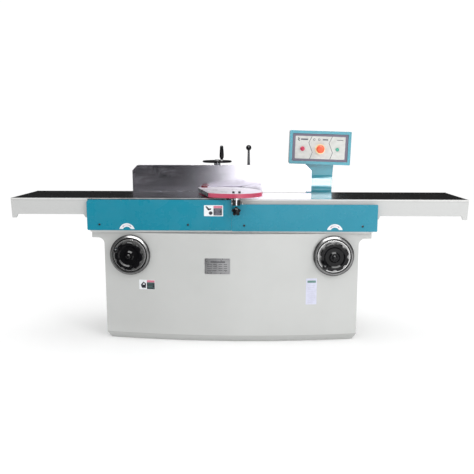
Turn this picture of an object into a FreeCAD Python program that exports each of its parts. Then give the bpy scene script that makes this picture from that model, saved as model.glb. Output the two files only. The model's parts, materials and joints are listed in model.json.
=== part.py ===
"""Long-bed surface planer (jointer): two ground tables on inclined ways, a cutterhead between
them, a tilting fence, a swinging guard, table-height handwheels and a control panel on an arm.

Working frame: X to the operator's right, Y = 0 at the tables' front edge and growing to the back,
Z up from the floor. The export moves Y so that the origin is the centre of the overall footprint.
"""
import FreeCAD, Part
import math
import os

from FreeCAD import Vector

# ---- Driving dimensions, millimetres ----------------------------------------------------------
TABLE_LENGTH = 2500.0
TABLE_WIDTH = 420.0
TABLE_TOP = 800.0
TABLE_PLATE = 22.0
SKIRT_THICK = 14.0
SKIRT_LOW = 692.0
SKIRT_HIGH = 710.0
LUG_LOW = 690.0
RIB_SPACING = 260.0
RIB_HALF = 6.0
RIB_DEPTH = 40.0
EDGE_BAND = 10.0
EDGE_GROOVE = 2.0
CUT_DEPTH = 4.0
OUTFEED_SHIFT = 1.5
WAY_ANGLE = math.radians(15.0)
RUN_GAP = 0.3
SHAFT_GAP = 0.05

# Inclined ways on the bed, measured along X from the cutter axis, and the table feet on them
WAY_START = 110.0
WAY_END = 560.0
WAY_HIGH = 748.0
WAY_YS = (90.0, 290.0)
WAY_WIDTH = 40.0
WAY_GAP = RUN_GAP / math.cos(WAY_ANGLE)
FOOT_START = 125.0
FOOT_END = 545.0

CUTTER_X = -32.0
CUTTER_R = 50.0
DRUM_R = 47.0
CUTTER_Z = TABLE_TOP - CUTTER_R
JOURNAL_R = 15.0
KNIVES = 3
KNIFE_START = 35.0
BEARING_R = 26.0
HOUSING_HALF = 34.0
HOUSING_SPANS = ((-20.0, -2.0), (422.0, 440.0))

CABINET_X = -36.0
BODY_HALF = 705.0
FLANGE_HALF = 776.0
KICK_INSET = 20.0
KICK_TOP = 36.0
FLARE_R = 33.0
FLANGE_LOW = 577.0
CABINET_TOP = 610.0
FRONT_Y = -50.0
BOW_R = 3930.0
REAR_Y = 500.0
SHEET = 4.0
FLOOR_PLATE = 8.0
TOP_PLATE = 8.0
ANCHOR_X = 560.0
ANCHOR_Y = 260.0
ANCHOR_SPAN = 360.0
ANCHOR_R = 7.0
GLAND_X = 520.0
GLAND_Z = 130.0
GLAND_R = 12.0
GLAND_BORE_R = 7.0
COVER_X = 150.0
COVER_Z = 250.0
COVER_HALF_WIDTH = 215.0
COVER_HALF_HEIGHT = 165.0
COVER_THICK = 3.0
COVER_RIM = 25.0
COVER_SCREW_INSET = 13.0

BED_TOP = 625.0
WALL_FRONT = -18.0
WALL_BACK = -8.0
WALL_TOP = 690.0
REAR_WALL_FRONT = 426.0
REAR_WALL_BACK = 434.0
APRON_Y = -24.0
APRON_SHEET = 3.0
APRON_SEAM = CUTTER_X + 1.0
APRON_LEFT_END = -823.0
APRON_RIGHT_END = 760.0
APRON_LEFT_TOP = 794.0
APRON_RIGHT_TOP = 770.0
SCREW_PLACES = ((-755, 657), (-268, 657), (39, 654), (681, 652))
SCREW_R = 3.0

WHEEL_LEFT_X = -590.0
WHEEL_RIGHT_X = 528.0
WHEEL_Z = 489.0
MOUNT_R = 110.5
WHEEL_R = 78.0
WHEEL_NOTCHES = 8
NOTCH_R = 15.0
NOTCH_PLACE_R = 83.0
NOTCH_TURN = math.radians(12.0)
CRANK_R = 70.0
CRANK_PIN_R = 5.0
CRANK_LEFT_ANGLE = math.radians(141.5)
CRANK_RIGHT_ANGLE = math.radians(215.7)
CRANK_TIP_Y = -150.0

MODULE = 1.5
PINION_TEETH = 18
LAY_TEETH = 54
PINION_PITCH_R = MODULE * PINION_TEETH / 2
LAY_PITCH_R = MODULE * LAY_TEETH / 2
LAY_Z = WHEEL_Z + PINION_PITCH_R + LAY_PITCH_R
BACKLASH = 0.1
RACK_TEETH = 11
WHEEL_SHAFT_R = 10.0
LAY_SHAFT_R = 8.0
BUSH_WALL = 4.0
LAY_BUSH_WALL = 3.0
BRACKET_PLATE = 8.0
BRACKET_YS = (14.0, 86.0)
BRACKET_HALF = 52.0

FENCE_Y = 405.0
FENCE_THICK = 8.0
FENCE_LEFT = -652.0
FENCE_RIGHT = 437.0
FENCE_BOTTOM = 801.0
FENCE_TOP = 960.0
FENCE_CHAMFER = 32.0
PIVOT_Y = 424.0
PIVOT_Z = 814.0
FENCE_WHEEL_X = -143.0
FENCE_WHEEL_Y = 555.0
FENCE_WHEEL_Z = 975.0
FENCE_WHEEL_R = 92.0
RAM_MODULE = 2.0
RAM_PINION_TEETH = 24
RAM_PITCH_X = FENCE_WHEEL_X + RAM_MODULE * RAM_PINION_TEETH / 2
RAM_RIGHT = 90.0
RAM_LOW = 806.0
RAM_HIGH = 838.0
RAM_FRONT = 440.0
RAM_REAR = 760.0
RAM_RACK_TEETH = 34
RAM_LUGS = ((-110.0, -80.0), (50.0, 80.0))
FENCE_LUGS = ((-79.7, -49.7), (19.7, 49.7))
LUG_R = 10.0
HINGE_PIN_R = 5.0
BRACKET_LEFT = -200.0
BRACKET_RIGHT = 120.0
BRACKET_TOP = 862.0
BRACKET_LOW = 796.0
FENCE_HANDLE_R = 76.0
FENCE_HANDLE_ANGLE = 295.0
LEVER_X = 55.0
LEVER_Z = 885.0
BALL_Z = 1061.0
BALL_R = 17.0

GUARD_X = -3.0
POST_Y = -38.0
POST_R = 9.0
GUARD_LOW = 807.0
GUARD_TOP = 830.0
GUARD_SHEET = 3.0
GUARD_BOLTS = (-20.0, 13.0)
GUARD_BOLT_Y = -14.0
TAIL_PLACE = (-208.0, 350.0)
TAIL_R = 20.0
TAIL_HEIGHT = 12.0
KNOB_Z = 738.0
KNOB_LOBES = 5
CHEEK_LOW = 766.0

COLUMN_LEFT = 414.0
PANEL_X = 495.0
PANEL_Z = 1062.0
PANEL_WIDTH = 376.0
PANEL_HEIGHT = 204.0
PANEL_FRONT = 494.0
PANEL_BACK = 590.0
PANEL_LEAN = 1.8
LAMP_X = PANEL_X - 108.0
START_X = PANEL_X + 105.0
BUTTON_Z = PANEL_Z - 8.0
RECESS_W = 340.0
RECESS_H = 168.0
PANEL_CORNER = 6.0

MOTOR_Z = 220.0
MOTOR_R = 75.0
MOTOR_WALL = 15.0
MOTOR_SHIELD = 10.0
MOTOR_FRONT = 170.0
MOTOR_REAR = 400.0
MOTOR_FINS = 24
MOTOR_FOOT_LOW = MOTOR_Z - 90.0
MOTOR_SHAFT_R = 14.0
ROTOR_R = 58.0
CUTTER_PULLEY_R = 33.0
MOTOR_PULLEY_R = 50.0
BELT_THICK = 7.0
BELT_WIDTH = 9.0
BELT_YS = (454.0, 470.0)
PULLEY_FRONT = 444.0
PULLEY_REAR = 480.0
DUST_X = CUTTER_X - 150.0
DUST_Z = 470.0
DUST_R = 60.0
DUST_WALL = 3.0
DUST_FRONT = 30.0
DUST_REAR = 390.0
SPIGOT_LENGTH = 45.0

ORIGIN_Y = (CRANK_TIP_Y + RAM_REAR) / 2

X_AXIS = Vector(1, 0, 0)
Y_AXIS = Vector(0, 1, 0)
Z_AXIS = Vector(0, 0, 1)


# ---- Geometry helpers -------------------------------------------------------------------------
def xz(x, z):
    return Vector(x, 0, z)


def xy(x, y):
    return Vector(x, y, 0)


def yz(y, z):
    return Vector(0, y, z)


def box(x0, x1, y0, y1, z0, z1):
    """Box between two values on each axis."""
    return Part.makeBox(x1 - x0, y1 - y0, z1 - z0, Vector(x0, y0, z0))


def cylinder(start, axis, radius, length):
    return Part.makeCylinder(radius, length, start, axis)


def outline(plane, start, moves):
    """Flat face from a start point; a move is a point, or a (through, end) pair for an arc."""
    edges = []
    here = plane(*start)
    for move in moves + [start]:
        if isinstance(move[0], tuple):
            end = plane(*move[1])
            edges.append(Part.Arc(here, plane(*move[0]), end).toShape())
        else:
            end = plane(*move)
            if end.distanceToPoint(here) > 1e-7:
                edges.append(Part.makeLine(here, end))
        here = end
    return Part.Face(Part.Wire(edges))


def prism(plane, points, low, high):
    """Extrude an outline between two values on the axis that its plane leaves out."""
    direction = {xz: Y_AXIS, xy: Z_AXIS, yz: X_AXIS}[plane]
    solid = outline(plane, points[0], points[1:]).extrude(direction * (high - low))
    solid.translate(direction * low)
    return solid


def turned(centre, axis, profile):
    """Revolve a list of (radius, height along axis) points about an axis through centre."""
    side = X_AXIS if axis != X_AXIS else Y_AXIS
    points = [centre + side * radius + axis * height for radius, height in profile]
    face = Part.Face(Part.makePolygon(points + [points[0]]))
    return face.revolve(centre, axis, 360)


def joined(solids):
    """One solid from several that touch or overlap."""
    result = solids[0].fuse(solids[1:]) if len(solids) > 1 else solids[0]
    return result.removeSplitter()


def gear_points(teeth, module, tooth_angle):
    """Involute spur gear outline, one tooth centred at tooth_angle."""
    pressure = math.radians(20)
    pitch_r = module * teeth / 2
    base_r = pitch_r * math.cos(pressure)
    root_r = pitch_r - 1.25 * module
    tip_r = pitch_r + module
    half_pitch = (math.pi * module / 2 - BACKLASH) / (2 * pitch_r)
    half_base = half_pitch + math.tan(pressure) - pressure

    def half_angle(radius):
        roll = math.acos(min(1.0, base_r / radius))
        return half_base - (math.tan(roll) - roll)

    start_r = max(base_r, root_r)
    steps = 4
    flank = [(start_r + (tip_r - start_r) * i / steps) for i in range(steps + 1)]
    if start_r > root_r:
        flank.insert(0, root_r)
    points = []
    for tooth in range(teeth):
        middle = tooth_angle + tooth * 2 * math.pi / teeth
        side = [(radius, half_angle(max(radius, base_r))) for radius in flank]
        for radius, half in side:
            points.append((radius * math.cos(middle - half), radius * math.sin(middle - half)))
        for radius, half in reversed(side):
            points.append((radius * math.cos(middle + half), radius * math.sin(middle + half)))
    return points


def gear(plane, centre, teeth, module, tooth_angle, low, high):
    shifted = [(centre[0] + a, centre[1] + b) for a, b in gear_points(teeth, module, tooth_angle)]
    return prism(plane, shifted, low, high)


def rack_points(module, count):
    """Rack teeth along u, tips at v = -module; first and last points end on the root line."""
    pitch = math.pi * module
    slope = math.tan(math.radians(20))
    half = (pitch / 2 - BACKLASH) / 2
    root = 1.25 * module
    points = []
    for index in range(count):
        middle = (index - (count - 1) / 2) * pitch
        points.append((middle - half - root * slope, root))
        points.append((middle - half + module * slope, -module))
        points.append((middle + half - module * slope, -module))
        points.append((middle + half + root * slope, root))
    return points


# ---- Cabinet ----------------------------------------------------------------------------------
def cabinet_outline(inset):
    """Front silhouette of the sheet cabinet, drawn in by a sheet thickness."""
    body = BODY_HALF - inset
    foot = BODY_HALF - KICK_INSET - inset
    flange = FLANGE_HALF - inset
    low = FLANGE_LOW + inset
    flare = FLARE_R + inset
    corner = flare * (1 - math.sqrt(0.5))
    flare_z = low - flare
    c = CABINET_X
    return [(c - foot, 0), (c + foot, 0), (c + body, KICK_TOP), (c + body, flare_z),
            ((c + body + corner, low - corner), (c + body + flare, low)),
            (c + flange, low), (c + flange, CABINET_TOP), (c - flange, CABINET_TOP),
            (c - flange, low), (c - body - flare, low),
            ((c - body - corner, low - corner), (c - body, flare_z)), (c - body, KICK_TOP)]


def bowed(inset, radius_inside):
    """Solid of revolution that stands behind the bowed front, to the given inset."""
    centre = Vector(CABINET_X, FRONT_Y + BOW_R, 0)
    outer = BOW_R - inset
    points = [(radius_inside, 0), (outer - KICK_INSET, 0), (outer, KICK_TOP),
              (outer, CABINET_TOP), (radius_inside, CABINET_TOP)]
    face = Part.Face(Part.makePolygon([centre + Vector(0, -r, z) for r, z in points + [points[0]]]))
    half_turn = 14.0
    face.rotate(centre, Z_AXIS, -half_turn)
    return face.revolve(centre, Z_AXIS, 2 * half_turn)


def behind_front(inset):
    """Everything inside the cabinet's front and rear faces, drawn in by the inset."""
    deepest = BOW_R - (REAR_Y - FRONT_Y) - 200
    rear = REAR_Y - inset
    rear_block = prism(yz, [(FRONT_Y - 20, 0), (rear - KICK_INSET, 0), (rear, KICK_TOP),
                            (rear, CABINET_TOP), (FRONT_Y - 20, CABINET_TOP)], -1000, 1000)
    return bowed(inset, deepest).common(rear_block)


def cabinet():
    outer = prism(xz, cabinet_outline(0), FRONT_Y - 20, REAR_Y)
    inner = prism(xz, cabinet_outline(SHEET), FRONT_Y - 20, REAR_Y)
    whole = outer.common(behind_front(0))
    core = behind_front(SHEET)
    skin = whole.cut(core)
    front = skin.common(box(-1000, 1000, FRONT_Y - 20, 200, 0, CABINET_TOP))
    rear = skin.common(box(-1000, 1000, 200, REAR_Y, 0, CABINET_TOP))
    walls = outer.cut(inner).common(core)
    left = walls.common(box(-1000, CABINET_X, -100, REAR_Y, 0, CABINET_TOP))
    right = walls.common(box(CABINET_X, 1000, -100, REAR_Y, 0, CABINET_TOP))
    hollow = inner.common(core)
    floor = hollow.common(box(-1000, 1000, -100, REAR_Y, 0, FLOOR_PLATE))
    top = hollow.common(box(-1000, 1000, -100, REAR_Y, CABINET_TOP - TOP_PLATE, CABINET_TOP))
    for x in (CUTTER_X - ANCHOR_X, CUTTER_X + ANCHOR_X):
        for y in (ANCHOR_Y - ANCHOR_SPAN / 2, ANCHOR_Y + ANCHOR_SPAN / 2):
            floor = floor.cut(cylinder(Vector(x, y, -1), Z_AXIS, ANCHOR_R, FLOOR_PLATE + 2))
    for x in (WHEEL_LEFT_X, WHEEL_RIGHT_X):
        mount_hole = cylinder(Vector(x, FRONT_Y - 30, WHEEL_Z), Y_AXIS, MOUNT_R, 120)
        front = front.cut(mount_hole)
        top = top.cut(mount_hole)
    rear = rear.cut(cylinder(Vector(DUST_X, REAR_Y - 10, DUST_Z), Y_AXIS, DUST_R - 1, 20))
    rear = rear.cut(cylinder(Vector(GLAND_X, REAR_Y - 10, GLAND_Z), Y_AXIS, GLAND_R, 20))
    rear = rear.cut(cover_box(COVER_RIM, REAR_Y - 10, REAR_Y + 1))
    top = top.cut(plate_openings(CABINET_TOP - TOP_PLATE, CABINET_TOP))
    cover = cover_box(0, REAR_Y, REAR_Y + COVER_THICK)
    for x, z in cover_screw_places():
        screw_hole = cylinder(Vector(x, REAR_Y - 5, z), Y_AXIS, SCREW_R, 10)
        cover = cover.cut(screw_hole)
        rear = rear.cut(screw_hole)
    return {"cabinet_front": front, "cabinet_side_left": left, "cabinet_side_right": right,
            "cabinet_rear": rear, "cabinet_floor": floor, "cabinet_top_plate": top,
            "service_cover": cover, "cable_gland": cable_gland()}


def cover_box(inset, y0, y1):
    """Block on the rear service cover's outline, drawn in by an inset."""
    width = COVER_HALF_WIDTH - inset
    height = COVER_HALF_HEIGHT - inset
    return box(COVER_X - width, COVER_X + width, y0, y1, COVER_Z - height, COVER_Z + height)


def cover_screw_places():
    across = COVER_HALF_WIDTH - COVER_SCREW_INSET
    up = COVER_HALF_HEIGHT - COVER_SCREW_INSET
    return [(COVER_X + dx, COVER_Z + dz) for dx in (-across, across) for dz in (-up, up)]


def plate_openings(low, high):
    """Slots for the table racks, the dust hopper and the belts."""
    tall = (low - 1, high + 1)
    slots = [box(CUTTER_X - 145, CUTTER_X + 79, 27, 393, *tall),
             box(CUTTER_X - 52, CUTTER_X + 52, 441, 486, *tall)]
    for x in (WHEEL_LEFT_X, WHEEL_RIGHT_X):
        slots.append(box(x - 50, x + 50, 56, 84, *tall))
    return Part.makeCompound(slots)


def cable_gland():
    nut_r, cap_r, tip_r = 17, 14, 10
    return turned(Vector(GLAND_X, REAR_Y, GLAND_Z), Y_AXIS,
                  [(GLAND_BORE_R, -10), (GLAND_R, -10), (GLAND_R, 0), (nut_r, 0), (nut_r, 8),
                   (cap_r, 9), (cap_r, 20), (tip_r, 26), (GLAND_BORE_R, 26)])


# ---- Bed, aprons and bearings -----------------------------------------------------------------
def way_height(distance):
    """Height of the inclined way at a distance from the cutter axis."""
    return WAY_HIGH - (distance - WAY_START) * math.tan(WAY_ANGLE)


def bed():
    low = CABINET_TOP
    recess = low + 6
    half = FLANGE_HALF - 4
    solids = [box(CABINET_X - half + 12, CABINET_X + half - 12, WALL_BACK, REAR_Y - SHEET, low, recess),
              box(CABINET_X - half, CABINET_X + half, WALL_FRONT, REAR_Y - SHEET, recess, BED_TOP)]
    beside = HOUSING_HALF + 6
    for x0, x1 in ((APRON_LEFT_END + 20, CUTTER_X - beside), (CUTTER_X + beside, APRON_RIGHT_END - 30)):
        solids.append(box(x0, x1, WALL_FRONT, WALL_BACK, BED_TOP, WALL_TOP))
        solids.append(box(x0, x1, REAR_WALL_FRONT, REAR_WALL_BACK, BED_TOP, WALL_TOP))
    for x, z in SCREW_PLACES:
        solids.append(cylinder(Vector(x, APRON_Y + APRON_SHEET, z), Y_AXIS, 9, 4))
    for side in (-1, 1):
        for y in WAY_YS:
            wedge = [(CUTTER_X + side * WAY_START, BED_TOP),
                     (CUTTER_X + side * WAY_START, way_height(WAY_START)),
                     (CUTTER_X + side * WAY_END, way_height(WAY_END)),
                     (CUTTER_X + side * WAY_END, BED_TOP)]
            solids.append(prism(xz, wedge, y, y + WAY_WIDTH))
    frame = joined(solids).cut(plate_openings(low, BED_TOP))
    for x, z in SCREW_PLACES:
        frame = frame.cut(cylinder(Vector(x, APRON_Y, z), Y_AXIS, SCREW_R, 14))
    return {"bed_frame": frame}


def aprons():
    """Two folded covers in front of the bed; their ends return towards the table."""
    back = APRON_Y + APRON_SHEET
    left = prism(xz, [(APRON_LEFT_END, 632), (APRON_LEFT_END + 2.1, 627.1), (APRON_LEFT_END + 7, 625),
                      (APRON_SEAM, 625), (APRON_SEAM, APRON_LEFT_TOP),
                      (APRON_LEFT_END + 12, APRON_LEFT_TOP), (APRON_LEFT_END, APRON_LEFT_TOP - 12)],
                 APRON_Y, back)
    right = prism(xz, [(APRON_SEAM + 0.5, 630), ((APRON_SEAM + 2.5, 625), (APRON_SEAM + 7.5, 623)),
                       (APRON_RIGHT_END - 3, 623), (APRON_RIGHT_END, 626),
                       (APRON_RIGHT_END, APRON_RIGHT_TOP - 3), (APRON_RIGHT_END - 3, APRON_RIGHT_TOP),
                       (APRON_SEAM + 0.5, APRON_RIGHT_TOP)], APRON_Y, back)
    left = joined([left, box(APRON_LEFT_END, APRON_LEFT_END + APRON_SHEET, APRON_Y, -4,
                             632, APRON_LEFT_TOP - 12)])
    right = joined([right, box(APRON_RIGHT_END - APRON_SHEET, APRON_RIGHT_END, APRON_Y, -4,
                               626, APRON_RIGHT_TOP - 3)])
    for x, z in SCREW_PLACES:
        screw_hole = cylinder(Vector(x, APRON_Y - 1, z), Y_AXIS, SCREW_R, 6)
        left = left.cut(screw_hole)
        right = right.cut(screw_hole)
    return {"apron_left": left, "apron_right": right}


def cover_screws():
    """Button-head screws of the aprons and of the rear service cover."""
    solids = [cover_screw(Vector(x, APRON_Y, z), Y_AXIS, 12) for x, z in SCREW_PLACES]
    seat = REAR_Y + COVER_THICK
    solids += [cover_screw(Vector(x, seat, z), -Y_AXIS, 8) for x, z in cover_screw_places()]
    return {"cover_screws": Part.makeCompound(solids)}


def cover_screw(seat, inward, length):
    """Screw whose shank runs inward from its seat and whose socket head stands outward."""
    head_r, edge_r, socket_r = 6, 4, 2
    head = turned(seat, -inward, [(0, 0), (head_r, 0), (head_r, 2), (edge_r, 3.4),
                                  (socket_r, 3.4), (socket_r, 1.6), (0, 1.6)])
    return joined([head, cylinder(seat, inward, SCREW_R, length)])


def bearing_stand(y0, y1):
    half = HOUSING_HALF
    crown = ((CUTTER_X, CUTTER_Z + half), (CUTTER_X - half, CUTTER_Z))
    body = prism(xz, [(CUTTER_X - half, BED_TOP), (CUTTER_X + half, BED_TOP),
                      (CUTTER_X + half, CUTTER_Z), crown], y0, y1)
    return body.cut(cylinder(Vector(CUTTER_X, y0 - 1, CUTTER_Z), Y_AXIS, BEARING_R, y1 - y0 + 2))


def cutter_block():
    """Cutterhead with its knives, wedges, pulley, bearings and housings."""
    centre = Vector(CUTTER_X, 0, CUTTER_Z)
    front, rear = 5, TABLE_WIDTH - 5
    collar_r = 22
    drum = turned(centre, Y_AXIS, [(0, -18), (JOURNAL_R, -18), (JOURNAL_R, front - 2),
                                   (collar_r, front - 2), (collar_r, front), (DRUM_R, front),
                                   (DRUM_R, rear), (collar_r, rear), (collar_r, rear + 2),
                                   (JOURNAL_R, rear + 2), (JOURNAL_R, PULLEY_REAR), (0, PULLEY_REAR)])
    slot_half, knife_thick = 6, 3
    slot_low = CUTTER_Z + 28
    slot = box(CUTTER_X - slot_half, CUTTER_X + slot_half, front - 1, rear + 1, slot_low,
               CUTTER_Z + CUTTER_R + 2)
    knife = box(CUTTER_X - slot_half, CUTTER_X - slot_half + knife_thick, front, rear, slot_low,
                CUTTER_Z + CUTTER_R - 0.4)
    wedge = box(CUTTER_X - slot_half + knife_thick, CUTTER_X + slot_half, front, rear, slot_low,
                CUTTER_Z + DRUM_R - 2)
    knives = []
    wedges = []
    for index in range(KNIVES):
        angle = KNIFE_START + index * 360.0 / KNIVES
        for shape, group in ((knife, knives), (wedge, wedges)):
            copy = shape.copy()
            copy.rotate(centre, Y_AXIS, angle)
            group.append(copy)
        cutter = slot.copy()
        cutter.rotate(centre, Y_AXIS, angle)
        drum = drum.cut(cutter)
    housings = [bearing_stand(*span) for span in HOUSING_SPANS]
    bearings = []
    for y0, y1 in HOUSING_SPANS:
        ring = cylinder(Vector(CUTTER_X, y0 + 2, CUTTER_Z), Y_AXIS, BEARING_R, y1 - y0 - 4)
        bearings.append(ring.cut(cylinder(Vector(CUTTER_X, y0, CUTTER_Z), Y_AXIS,
                                          JOURNAL_R + SHAFT_GAP, y1 - y0)))
    return {"cutterhead_drum": drum, "cutter_knives": Part.makeCompound(knives),
            "knife_wedges": Part.makeCompound(wedges),
            "cutter_pulley": pulley(CUTTER_Z, CUTTER_PULLEY_R, JOURNAL_R),
            "bearing_housings": Part.makeCompound(housings),
            "cutter_bearings": Part.makeCompound(bearings)}


# ---- Motor, belts and dust hopper -------------------------------------------------------------
def pulley(height, groove_r, bore_r):
    """Grooved pulley; the belts run in its grooves with a small gap all round."""
    rim_r = groove_r + BELT_THICK + 1
    profile = [(bore_r, PULLEY_FRONT), (rim_r, PULLEY_FRONT)]
    for y in BELT_YS:
        edge = BELT_WIDTH / 2 + RUN_GAP
        profile += [(rim_r, y - edge), (groove_r, y - edge), (groove_r, y + edge), (rim_r, y + edge)]
    profile += [(rim_r, PULLEY_REAR), (bore_r, PULLEY_REAR)]
    return turned(Vector(CUTTER_X, 0, height), Y_AXIS, profile)


def belt_face(top_r, low_r):
    """Face bounded by two arcs and their two common tangents."""
    span = CUTTER_Z - MOTOR_Z
    tilt = math.asin((low_r - top_r) / span)
    cos_t, sin_t = math.cos(tilt), math.sin(tilt)
    right_low = (CUTTER_X + low_r * cos_t, MOTOR_Z + low_r * sin_t)
    right_top = (CUTTER_X + top_r * cos_t, CUTTER_Z + top_r * sin_t)
    left_top = (CUTTER_X - top_r * cos_t, right_top[1])
    left_low = (CUTTER_X - low_r * cos_t, right_low[1])
    return [right_low, right_top, ((CUTTER_X, CUTTER_Z + top_r), left_top), left_low,
            ((CUTTER_X, MOTOR_Z - low_r), right_low)]


def belts():
    solids = []
    for y in BELT_YS:
        y0, y1 = y - BELT_WIDTH / 2, y + BELT_WIDTH / 2
        inner = prism(xz, belt_face(CUTTER_PULLEY_R + RUN_GAP, MOTOR_PULLEY_R + RUN_GAP), y0, y1)
        outer_gap = RUN_GAP + BELT_THICK
        outer = prism(xz, belt_face(CUTTER_PULLEY_R + outer_gap, MOTOR_PULLEY_R + outer_gap), y0, y1)
        solids.append(outer.cut(inner))
    return {"drive_belts": Part.makeCompound(solids)}


def belt_guard():
    """Hood over the cutter pulley, open towards the pulley and at its foot."""
    wall = 2.5
    radius = BRACKET_LOW - 1 - CUTTER_Z
    foot = radius + 13

    def hood(inset, y0, y1):
        crown = ((CUTTER_X, CUTTER_Z + radius - inset), (CUTTER_X - radius + inset, CUTTER_Z))
        return prism(xz, [(CUTTER_X - foot + inset, BED_TOP), (CUTTER_X + foot - inset, BED_TOP),
                          (CUTTER_X + radius - inset, CUTTER_Z), crown], y0, y1)
    rear = PULLEY_REAR + 12
    return {"belt_guard": hood(0, 441, rear).cut(hood(wall, 440, rear - wall))}


def motor():
    """Foot-mounted motor: finned stator tube, two end shields, rotor and its steel stand."""
    centre = Vector(CUTTER_X, 0, MOTOR_Z)
    front, rear = MOTOR_FRONT, MOTOR_REAR
    bore = MOTOR_SHAFT_R + SHAFT_GAP
    inside = MOTOR_R - MOTOR_WALL
    tube = turned(centre, Y_AXIS, [(inside, front + MOTOR_SHIELD), (MOTOR_R, front + MOTOR_SHIELD),
                                   (MOTOR_R, rear - MOTOR_SHIELD), (inside, rear - MOTOR_SHIELD)])
    shields = [turned(centre, Y_AXIS, [(bore, y), (MOTOR_R, y), (MOTOR_R, y + MOTOR_SHIELD),
                                       (bore, y + MOTOR_SHIELD)]) for y in (front, rear - MOTOR_SHIELD)]
    fins = []
    step = 360.0 / MOTOR_FINS
    for index in range(MOTOR_FINS):
        angle = index * step
        if 225 < angle < 315:
            continue
        fin = box(CUTTER_X + MOTOR_R - 1, CUTTER_X + MOTOR_R + 7, front + 15, rear - 15,
                  MOTOR_Z - 1.2, MOTOR_Z + 1.2)
        fin.rotate(centre, Y_AXIS, -angle)
        fins.append(fin)
    foot_ys = (front + 20, rear - 60)
    feet = [box(CUTTER_X - 80, CUTTER_X + 80, y, y + 40, MOTOR_FOOT_LOW, MOTOR_Z - 76) for y in foot_ys]
    webs = [box(CUTTER_X - 30, CUTTER_X + 30, y, y + 40, MOTOR_Z - 77, MOTOR_Z - 66) for y in foot_ys]
    terminals = box(CUTTER_X + MOTOR_R - 5, CUTTER_X + MOTOR_R + 45, front + 70, rear - 70,
                    MOTOR_Z - 40, MOTOR_Z + 40)
    terminals = terminals.cut(cylinder(centre + Y_AXIS * front, Y_AXIS, MOTOR_R - 3, rear - front))
    stator = joined([tube] + fins + feet + webs + [terminals])
    rotor = turned(centre, Y_AXIS, [(0, front - 10), (MOTOR_SHAFT_R, front - 10),
                                    (MOTOR_SHAFT_R, front + 30), (ROTOR_R, front + 30),
                                    (ROTOR_R, rear - 30), (MOTOR_SHAFT_R, rear - 30),
                                    (MOTOR_SHAFT_R, PULLEY_REAR), (0, PULLEY_REAR)])
    half, plate = 110, 12
    shelf = MOTOR_FOOT_LOW - plate
    mount = joined([box(CUTTER_X - half, CUTTER_X + half, front - 20, rear + 20, shelf, MOTOR_FOOT_LOW),
                    box(CUTTER_X - half, CUTTER_X - half + plate, front - 20, rear + 20, FLOOR_PLATE, shelf),
                    box(CUTTER_X + half - plate, CUTTER_X + half, front - 20, rear + 20, FLOOR_PLATE, shelf)])
    return {"motor_frame": Part.makeCompound([stator] + shields), "motor_rotor": rotor,
            "motor_mount": mount, "motor_pulley": pulley(MOTOR_Z, MOTOR_PULLEY_R, MOTOR_SHAFT_R)}


def dust_chute():
    """Sheet hopper under the cutter, leading to a hose spigot through the rear panel."""
    wall = DUST_WALL
    mouth_half, mouth_top = 75, 690
    points = [(mouth_half, mouth_top), (mouth_half, 590), (-90, 400), (-210, 400), (-210, 540),
              (-mouth_half, 640), (-mouth_half, mouth_top)]
    places = [(CUTTER_X + x, z) for x, z in points]
    shape = outline(xz, places[0], places[1:])
    depth = DUST_REAR - DUST_FRONT
    inner = Part.Face(shape.OuterWire.makeOffset2D(-wall)).extrude(Y_AXIS * (depth - 2 * wall))
    inner.translate(Y_AXIS * (DUST_FRONT + wall))
    outer = shape.extrude(Y_AXIS * depth)
    outer.translate(Y_AXIS * DUST_FRONT)
    mouth = box(CUTTER_X - mouth_half + wall, CUTTER_X + mouth_half - wall, DUST_FRONT + wall,
                DUST_REAR - wall, mouth_top - 10, mouth_top + 10)
    hopper = outer.cut(inner).cut(mouth)
    start, end = DUST_REAR - 5, REAR_Y + SPIGOT_LENGTH
    bore_r = DUST_R - 4
    pipe = turned(Vector(DUST_X, 0, DUST_Z), Y_AXIS,
                  [(bore_r, start), (DUST_R - 1, start), (DUST_R - 1, REAR_Y), (DUST_R, REAR_Y),
                   (DUST_R, end), (bore_r, end)])
    bore = cylinder(Vector(DUST_X, start - 5, DUST_Z), Y_AXIS, bore_r, end - start + 10)
    return {"dust_chute": joined([hopper, pipe]).cut(bore)}


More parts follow.
